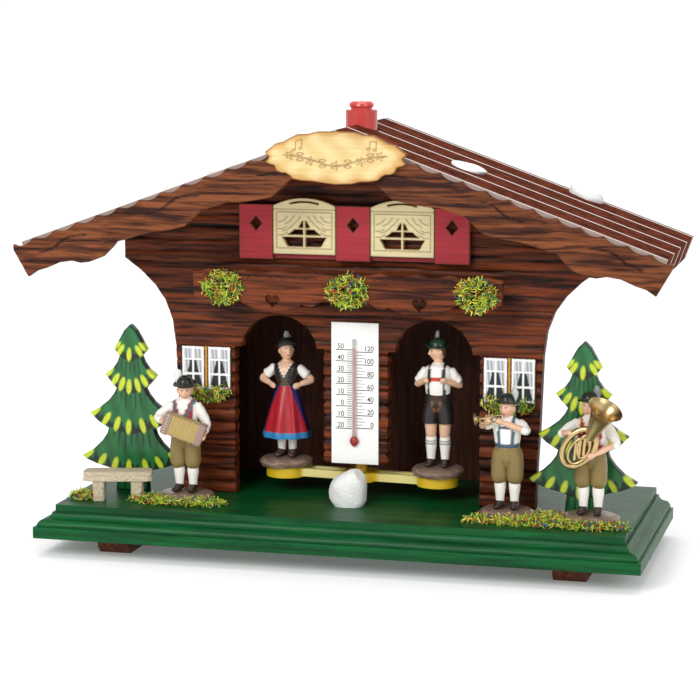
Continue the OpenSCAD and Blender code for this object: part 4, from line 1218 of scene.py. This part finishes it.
# Woman: dark hat with a silver tuft, laced bodice over puffed sleeves, and a red apron over a blue dress.
# She stands with her hands on her hips, on the left platform of the carrier.
def bodice_paint(points):
    """Dark cloth, slanting lacing down the middle, and a V neck that widens with height, edged in white."""
    x, y, z = points.T
    colour = flat_paint(points, "#2f2824")
    lace = (np.abs((z * 0.55 + np.abs(x) * 0.8) % 1.0 - 0.5) < 0.14) & (np.abs(x) < 1.7) & (z < 37)
    colour = np.where((lace & (y < 0))[:, None], linear("#8d7c5c"), colour)
    neck = (y < 0.3) & (np.abs(x) < 0.55 * (z - 35.4))
    trim = (y < 0.3) & (np.abs(x) < 0.55 * (z - 34.6)) & ~neck
    colour = np.where(trim[:, None], linear(WHITE), colour)
    return np.where((neck | (z > 40.6))[:, None], linear(SKIN), colour)


def skirt_paint(points):
    """A red apron that widens downward over a blue dress, shaded in nine pleats, with a wavy blue hem."""
    x, y, z = points.T
    apron = (y < -0.25 * np.abs(x) + 0.6) & (np.abs(x) < 1.2 + 0.42 * (33 - z))
    colour = np.where(apron[:, None], linear("#b3202c"), linear("#27346f"))
    shade = 0.5 + 0.5 * np.cos(9 * np.arctan2(y, x))
    colour = blend(0.35 * shade, colour, linear("#5d1220"))
    return np.where((z < 11.2 + 0.2 * np.sin(6 * np.arctan2(y, x)))[:, None], linear("#2d7db0"), colour)


pleats = lambda angle, z: 1 + 0.045 * np.cos(9 * angle) * np.clip((31 - z) / 18, 0, 1)
woman = [rock_base(31)]
woman += mirrored_pair(lambda s: shoe(s, "#4a3328", 2.6)) + mirrored_pair(lambda s: tube(
    [(s * 2.4, 0.6, 2.4, 1.6, 1.7), (s * 2.4, 0.5, 6, 1.9, 1.9), (s * 2.4, 0.3, 11, 2.1, 2.1)], WHITE, 18, 4))
woman.append(tube([(0, 0.2, 8.6, 10.3, 9.2), (0, 0.2, 9.4, 10.4, 9.3), (0, 0.2, 12, 9.7, 8.7), (0, 0.1, 19, 7.9, 7.0),
                   (0, 0, 26, 5.8, 5.0), (0, 0, 30.4, 4.3, 3.7), (0, 0, 31.8, 4.1, 3.4)],
                  skirt_paint, 72, 8, cap=0.02, wave=pleats))
woman.append(tube([(0, 0, 30.6, 4.2, 3.5), (0, -0.2, 34, 4.9, 4.0), (0, -0.3, 36.8, 5.4, 4.4), (0, 0, 39.2, 5.2, 3.6),
                   (0, 0.2, 40.8, 3.0, 2.5), (0, 0.2, 41.8, 1.9, 1.9)], bodice_paint, 48, 8, cap=0.1))
for s in (-1, 1):
    woman += arm((s * 5.4, 0.5, 38.2), (s * 10.9, 1.0, 33.3), (s * 6.3, -2.4, 31.4), -0.42)
woman.append(tube([(0, 0.3, 40.6, 1.8, 1.8), (0, 0.1, 43, 1.7, 1.7)], SKIN, 16))
woman_head = head("#3d281d") + placed(hat("#2c2b28", "#4b4a44", "#a5a9ac", 0.35), (0, 0.2, 0.1), 0.97)
woman_head.append(tube([(-1.4, 3.1, -2.6, 0.8, 0.6), (0, 3.6, -2.2, 1.3, 1.1), (1.4, 3.1, -2.6, 0.8, 0.6)],
                       "#3d281d", 14, refer=(0, 0, 1)))
woman += turned(placed(turned(woman_head, -8, (0, 0, 0), "X"), (0, 0, 45.6)), 34, (0, 0, 0))
hinge_y, arm_reach, rest_turn, stone_top = 4.8, 33.8, math.radians(-4.3), 36.3
woman_place = (-arm_reach * math.cos(rest_turn), hinge_y - arm_reach * math.sin(rest_turn), stone_top)
man_place = (arm_reach * math.cos(rest_turn), hinge_y + arm_reach * math.sin(rest_turn), stone_top)
figure("woman_figure", "figure_woman", "rotor", woman, woman_place)


# Man: green hat, white shirt, black leather shorts and braces, with his thumbs in the braces.
# He stands on the right platform and looks to his right.
def braced_shirt(points, strap="#2d2a29", gap=3.2, panel=None):
    """A white shirt with two upright straps gap mm from the middle, and a panel between them from low to high."""
    x, y, z = points.T
    colour = flat_paint(points, WHITE)
    straps = np.abs(np.abs(x) - gap) < 0.6
    if panel:
        low, high, code = panel
        colour = np.where(((y < 0) & (np.abs(x) < gap) & (z > low) & (z < high))[:, None], linear(code), colour)
    return np.where(straps[:, None], linear(strap), colour)


def shorts_paint(points):
    """Black leather, with a brown flap in front and a stitched V on it."""
    x, y, z = points.T
    flap = (y < -2.6) & (np.abs(x) < 2.0) & (z > 23)
    stitch = flap & (np.abs(np.abs(x) - 0.35 * (z - 22)) < 0.28)
    return np.where(stitch[:, None], linear("#8b5b38"), np.where(flap[:, None], linear("#3b2a22"), linear("#272322")))


def shorts_leg(s):
    """A short leather leg on side s."""
    return tube([(s * 3.3, 0, 18.4, 3.4, 3.5), (s * 3.1, 0, 22, 3.5, 3.8), (s * 2.3, 0, 27, 3.2, 4.0)],
                shorts_paint, 28, 5, cap=0.12)


man = [rock_base(47)] + mirrored_pair(lambda s: shoe(s, LEATHER)) + mirrored_pair(lambda s: sock(s, 12.6, (9.4, 10.6)))
man += mirrored_pair(lambda s: tube(
    [(s * 3, 0.4, 12, 2.0, 2.0), (s * 3, 0.1, 14.6, 2.35, 2.4), (s * 3.1, 0.1, 19.5, 2.7, 2.8)], SKIN, 18, 5))
man += mirrored_pair(shorts_leg)
man.append(tube([(0, 0.1, 23.4, 3.6, 3.0), (0, 0, 27, 5.6, 4.4), (0, 0, 31, 5.2, 4.1)], shorts_paint, 40, 6, cap=0.15))
man.append(torso(31, 42, 1.0, lambda p: braced_shirt(p, panel=(36.4, 38.0, "#c4452f"))))
man += arm((-5.4, 0.2, 40.6), (-8.9, 0.6, 34.6), (-4.9, -4.6, 36.6), -0.25)
man += arm((5.4, 0.2, 40.6), (9.0, 1.2, 34.6), (4.4, -4.4, 36.8), -0.25)
man.append(tube([(0, 0.3, 42.6, 2.0, 2.0), (0, 0.1, 45.6, 1.9, 1.9)], SKIN, 16))
man_head = head("#6a4a2f") + placed(hat("#26402c", "#1c2a20", "#aeb2b2", -1), (0, 0.2, -0.1))
man += turned(placed(turned(man_head, 6, (0, 0, 0), "X"), (0, -0.2, 48.6)), -62, (0, 0, 0))
figure("man_figure", "figure_man", "rotor", man, man_place)


# Three musicians in khaki breeches, white stockings and dark hats.
# One plays an accordion, and two hold a trumpet and a tuba of brushed brass.
def vest_paint(points, strap=None):
    """A red waistcoat over a white shirt, which shows in a V in front, at the sides and above; slanting straps."""
    x, y, z = points.T
    opening = (y < 0) & (np.abs(x) < 0.42 * (z - 31.5))
    cloth = (np.abs(x) < 4.7) | (y >= 1.4)
    colour = np.where(cloth[:, None], linear("#a3232c"), linear(WHITE))
    colour = np.where(opening[:, None], linear(WHITE), colour)
    colour = np.where((z > 39.4)[:, None], linear(WHITE), colour)
    if strap:
        belt = (y < 0) & (np.abs(np.abs(x) - 0.42 * (z - 28)) < 0.75)
        colour = np.where(belt[:, None], linear(strap), colour)
    return colour


def bellows_paint(points):
    """Pale ridges and brown valleys: a triangle wave of 1 mm along the bellows."""
    fold = np.abs((points[:, 0] + 0.25) % 1 - 0.5) * 2
    return blend(fold, flat_paint(points, "#8f7438"), linear("#dcc68c"))


KHAKI = "#857141"


def standing(seed, stocking_top):
    """A musician's stone, shoes and stockings."""
    return ([rock_base(seed)] + mirrored_pair(lambda s: shoe(s, "#2e211d"))
            + mirrored_pair(lambda s: sock(s, stocking_top)))


accordionist = standing(53, 11.4)
accordionist += breeches(KHAKI, 10.6, 27)
accordionist.append(torso(27.5, 38.4, 1.05, lambda p: vest_paint(p, "#5d6670")))
accordionist += arm((-5.4, 0.2, 36.8), (-11.4, -1.4, 31.6), (-7.2, -6.6, 30.0), 0.55)
accordionist += arm((5.4, 0.2, 36.8), (9.8, -1.2, 29.4), (10.2, -6.6, 25.6), 0.6)
accordionist.append(tube([(0, 0.2, 38.6, 1.9, 1.9), (0, -0.1, 41, 1.8, 1.8)], SKIN, 16))
fold_x = np.arange(-6.0, 6.05, 0.5)
bellow = [(x, 0, 0, 4.6 + 0.22 * (-1) ** i, 3.2 + 0.2 * (-1) ** i) for i, x in enumerate(fold_x)]
squeeze_box = [tube(bellow, bellows_paint, 28, 1, cap=0.05, square=7)]
squeeze_box += [tube([(s * 6.0, 0, 0, 4.9, 3.5), (s * 7.4, 0, 0, 4.9, 3.5), (s * 8.8, 0, 0, 4.6, 3.2)],
                     "#9b8073", 28, 2, cap=0.1, square=7) for s in (-1, 1)]
squeeze_box += [tube([(-7.4, -3.5, k, 0.28, 0.28), (-7.4, -3.9, k, 0.28, 0.28)], "#e8e3da", 8, 2, refer=(0, 0, 1))
                for k in np.arange(-3.6, 3.7, 1.2)]
accordionist += placed(turned(turned(squeeze_box, 20, (0, 0, 0), "Y"), 10, (0, 0, 0)), (2.0, -8.0, 28.2))
reed_head = head("#4a3526") + placed(hat("#23261f", "#3b3f35", "#dfe1df", -1), (0, 0.2, 0.4))
accordionist += turned(placed(turned(reed_head, 12, (0, 0, 0), "X"), (0, -0.6, 43.0)), 16, (0, 0, 0))
figure("accordion_figure", "accordion_player", "house", accordionist, (-69.8, -21.4, 25.0))

# Brushed brass: fine noise scuffs it, so its glints are broad and soft.
brass, brass_shader = new_material("brushed_gilt_brass", Metallic=1.0, Roughness=0.3)
brass_noise = add(brass, "TexNoise", inputs={
    "Vector": add(brass, "TexCoord").outputs["Object"], "Scale": 1 / (1.5 * MM), "Detail": 3.0})
brass_colour = add(brass, "Mix", {"data_type": "RGBA"}, {
    0: brass_noise.outputs["Fac"], 6: rgba("#ad905c"), 7: rgba("#d8c193")})
brass_bump = add(brass, "Bump", inputs={"Strength": 0.2, "Distance": 0.04 * MM, "Height": brass_noise.outputs["Fac"]})
brass.node_tree.links.new(brass_colour.outputs[2], brass_shader.inputs["Base Color"])
brass.node_tree.links.new(brass_bump.outputs["Normal"], brass_shader.inputs["Normal"])


def brass_piece(name, node, parts, foot_place):
    """A musician's instrument: its pipes and bell joined, in brass."""
    points, faces, _ = joined(parts)
    return weld(new_piece(name, points + foot_place, faces, brass, "house", [node], sharp=50))


def pipe(path, bore):
    """A bent brass pipe of one bore through points."""
    return tube([(*point, bore, bore) for point in path], "#ffffff", 12, 5, refer=(0.3, 0.9, 0.3), cap=0.4)


trumpeter = standing(59, 12.0)
trumpeter += breeches(KHAKI, 11.0, 25.4)


def trumpeter_shirt(points):
    """A braced shirt with a blue belt and the bar between the braces."""
    colour = braced_shirt(points, "#47606e", 2.9, (27.5, 33.5, "#f4f3ee"))
    waist_belt = points[:, 2] < 27.4
    bars = (points[:, 1] < 0) & (np.abs(points[:, 2] - 33.9) < 0.5) & (np.abs(points[:, 0]) < 3.4)
    return np.where((waist_belt | bars)[:, None], linear("#41586a"), colour)


trumpeter.append(torso(26, 36.4, 0.98, trumpeter_shirt))
trumpeter += arm((-5.2, 0, 35.2), (-9.6, -3.6, 34.4), (-7.2, -7.4, 36.6), -0.3)
trumpeter += arm((5.2, 0, 35.2), (8.4, -4.2, 33.0), (-0.6, -7.6, 36.6), 0.15)
trumpeter.append(tube([(0, 0.2, 36.6, 1.9, 1.9), (0, -0.1, 39.2, 1.8, 1.8)], SKIN, 16))
trumpeter_head = head("#4a3526") + placed(hat("#23291f", "#3b3f35", "#b9bcb8", 1), (0, 0.2, 0.4))
trumpeter += turned(placed(trumpeter_head, (0, -0.4, 41.2)), -20, (0, 0, 0))
trumpet_place = (67.6, -20.0, 25.0)
figure("trumpet_figure", "trumpet_player", "house", trumpeter, trumpet_place)
mouth = np.array([-1.4, -4.6, 39.2])
bell_way = np.array([-0.86, -0.48, -0.08])
along_horn = lambda reach, down=0.0, out=0.0: tuple(mouth + reach * bell_way + np.array([0, -out, -down]))
horn = [pipe([along_horn(0), along_horn(5), along_horn(8.2)], 0.35),
        pipe([along_horn(8.0), along_horn(9.4, 0.6), along_horn(9.4, 1.9), along_horn(8.0, 2.5),
              along_horn(4.2, 2.5), along_horn(2.6, 2.0), along_horn(2.6, 0.8), along_horn(4.0, 0.2, 0.5)], 0.35),
        lathe([(-0.4, 0), (-0.4, 0.45), (3, 0.5), (5.2, 0.9), (6.4, 1.7), (6.8, 2.6), (6.7, 2.5), (6.2, 1.5),
               (5, 0.6), (4, 0)], along_horn(4.6, 0.3, 0.5), bell_way, "#ffffff", 24, (0, 0, 1))]
horn += [pipe([along_horn(reach, down, 0.3) for down in (3.4, 1.0, -0.9)], 0.5) for reach in (4.4, 5.6, 6.8)]
brass_piece("trumpet_brass", "trumpet_player", horn, trumpet_place)

tubist = standing(61, 12.2)
tubist += breeches(KHAKI, 11.4, 27)
tubist.append(torso(27, 39, 1.22, vest_paint))
tubist += arm((-5.8, 0, 37.2), (-11.4, -2.6, 33.0), (-8.2, -8.2, 34.2), 0.12)
tubist += arm((5.8, 0, 37.2), (10.4, -2.0, 29.6), (2.4, -9.0, 26.0), 0.12)
tubist.append(tube([(0, 0.2, 39, 2.0, 2.0), (0, -0.1, 42, 1.9, 1.9)], SKIN, 16))
tubist_head = head("#4a3526") + placed(hat("#23291f", "#3b3f35", "#7d8078", 1), (0, 0.2, 0.3))
tubist += turned(placed(tubist_head, (-1.2, 0.4, 43.6)), -12, (0, 0, 0))
tuba_place = (102.3, -22.3, 25.0)
figure("tuba_figure", "tuba_player", "house", tubist, tuba_place)
bell_axis = np.array([0.46, -0.3, 0.84])
tuba = [lathe([(-2, 0), (-2, 1.1), (4, 1.9), (10, 2.9), (15, 4.0), (18.5, 5.2), (20.6, 6.7), (21.2, 7.3),
               (21.0, 7.2), (20.0, 6.1), (18, 4.8), (15, 3.6), (11, 2.4), (9, 0)],
              (-2.2, -7.4, 27.8), bell_axis, "#ffffff", 36)]
loop_angle = np.linspace(0, 2 * np.pi, 17)
for centre, wide, high, lean, bore in (
    ((-3.6, -8.6, 28.6), 6.2, 7.6, 0.35, 1.35),
    ((-3.4, -10.2, 27.6), 3.9, 5.2, 0.35, 0.6),
    ((-1.4, -10.4, 29.4), 2.4, 4.6, 0.2, 0.5),
):
    path = np.stack([centre[0] + wide * np.cos(loop_angle) + lean * high * np.sin(loop_angle),
                     centre[1] - 0.5 + 0.25 * np.cos(loop_angle), centre[2] + high * np.sin(loop_angle)], 1)
    tuba.append(pipe([tuple(point) for point in path], bore))
tuba += [pipe([(x, -10.6, 26.5 + 0.5 * x), (x + 0.5, -10.7, 31.6 + 0.5 * x), (x + 0.8, -10.7, 33.4 + 0.5 * x)], 0.72)
         for x in (-5.2, -3.4, -1.6)]
tuba.append(pipe([(-2.4, -6.2, 41.6), (-3.0, -8.4, 40.6), (-3.4, -9.6, 37.6), (-2.4, -9.8, 34.6)], 0.4))
brass_piece("tuba_brass", "tuba_player", tuba, tuba_place)
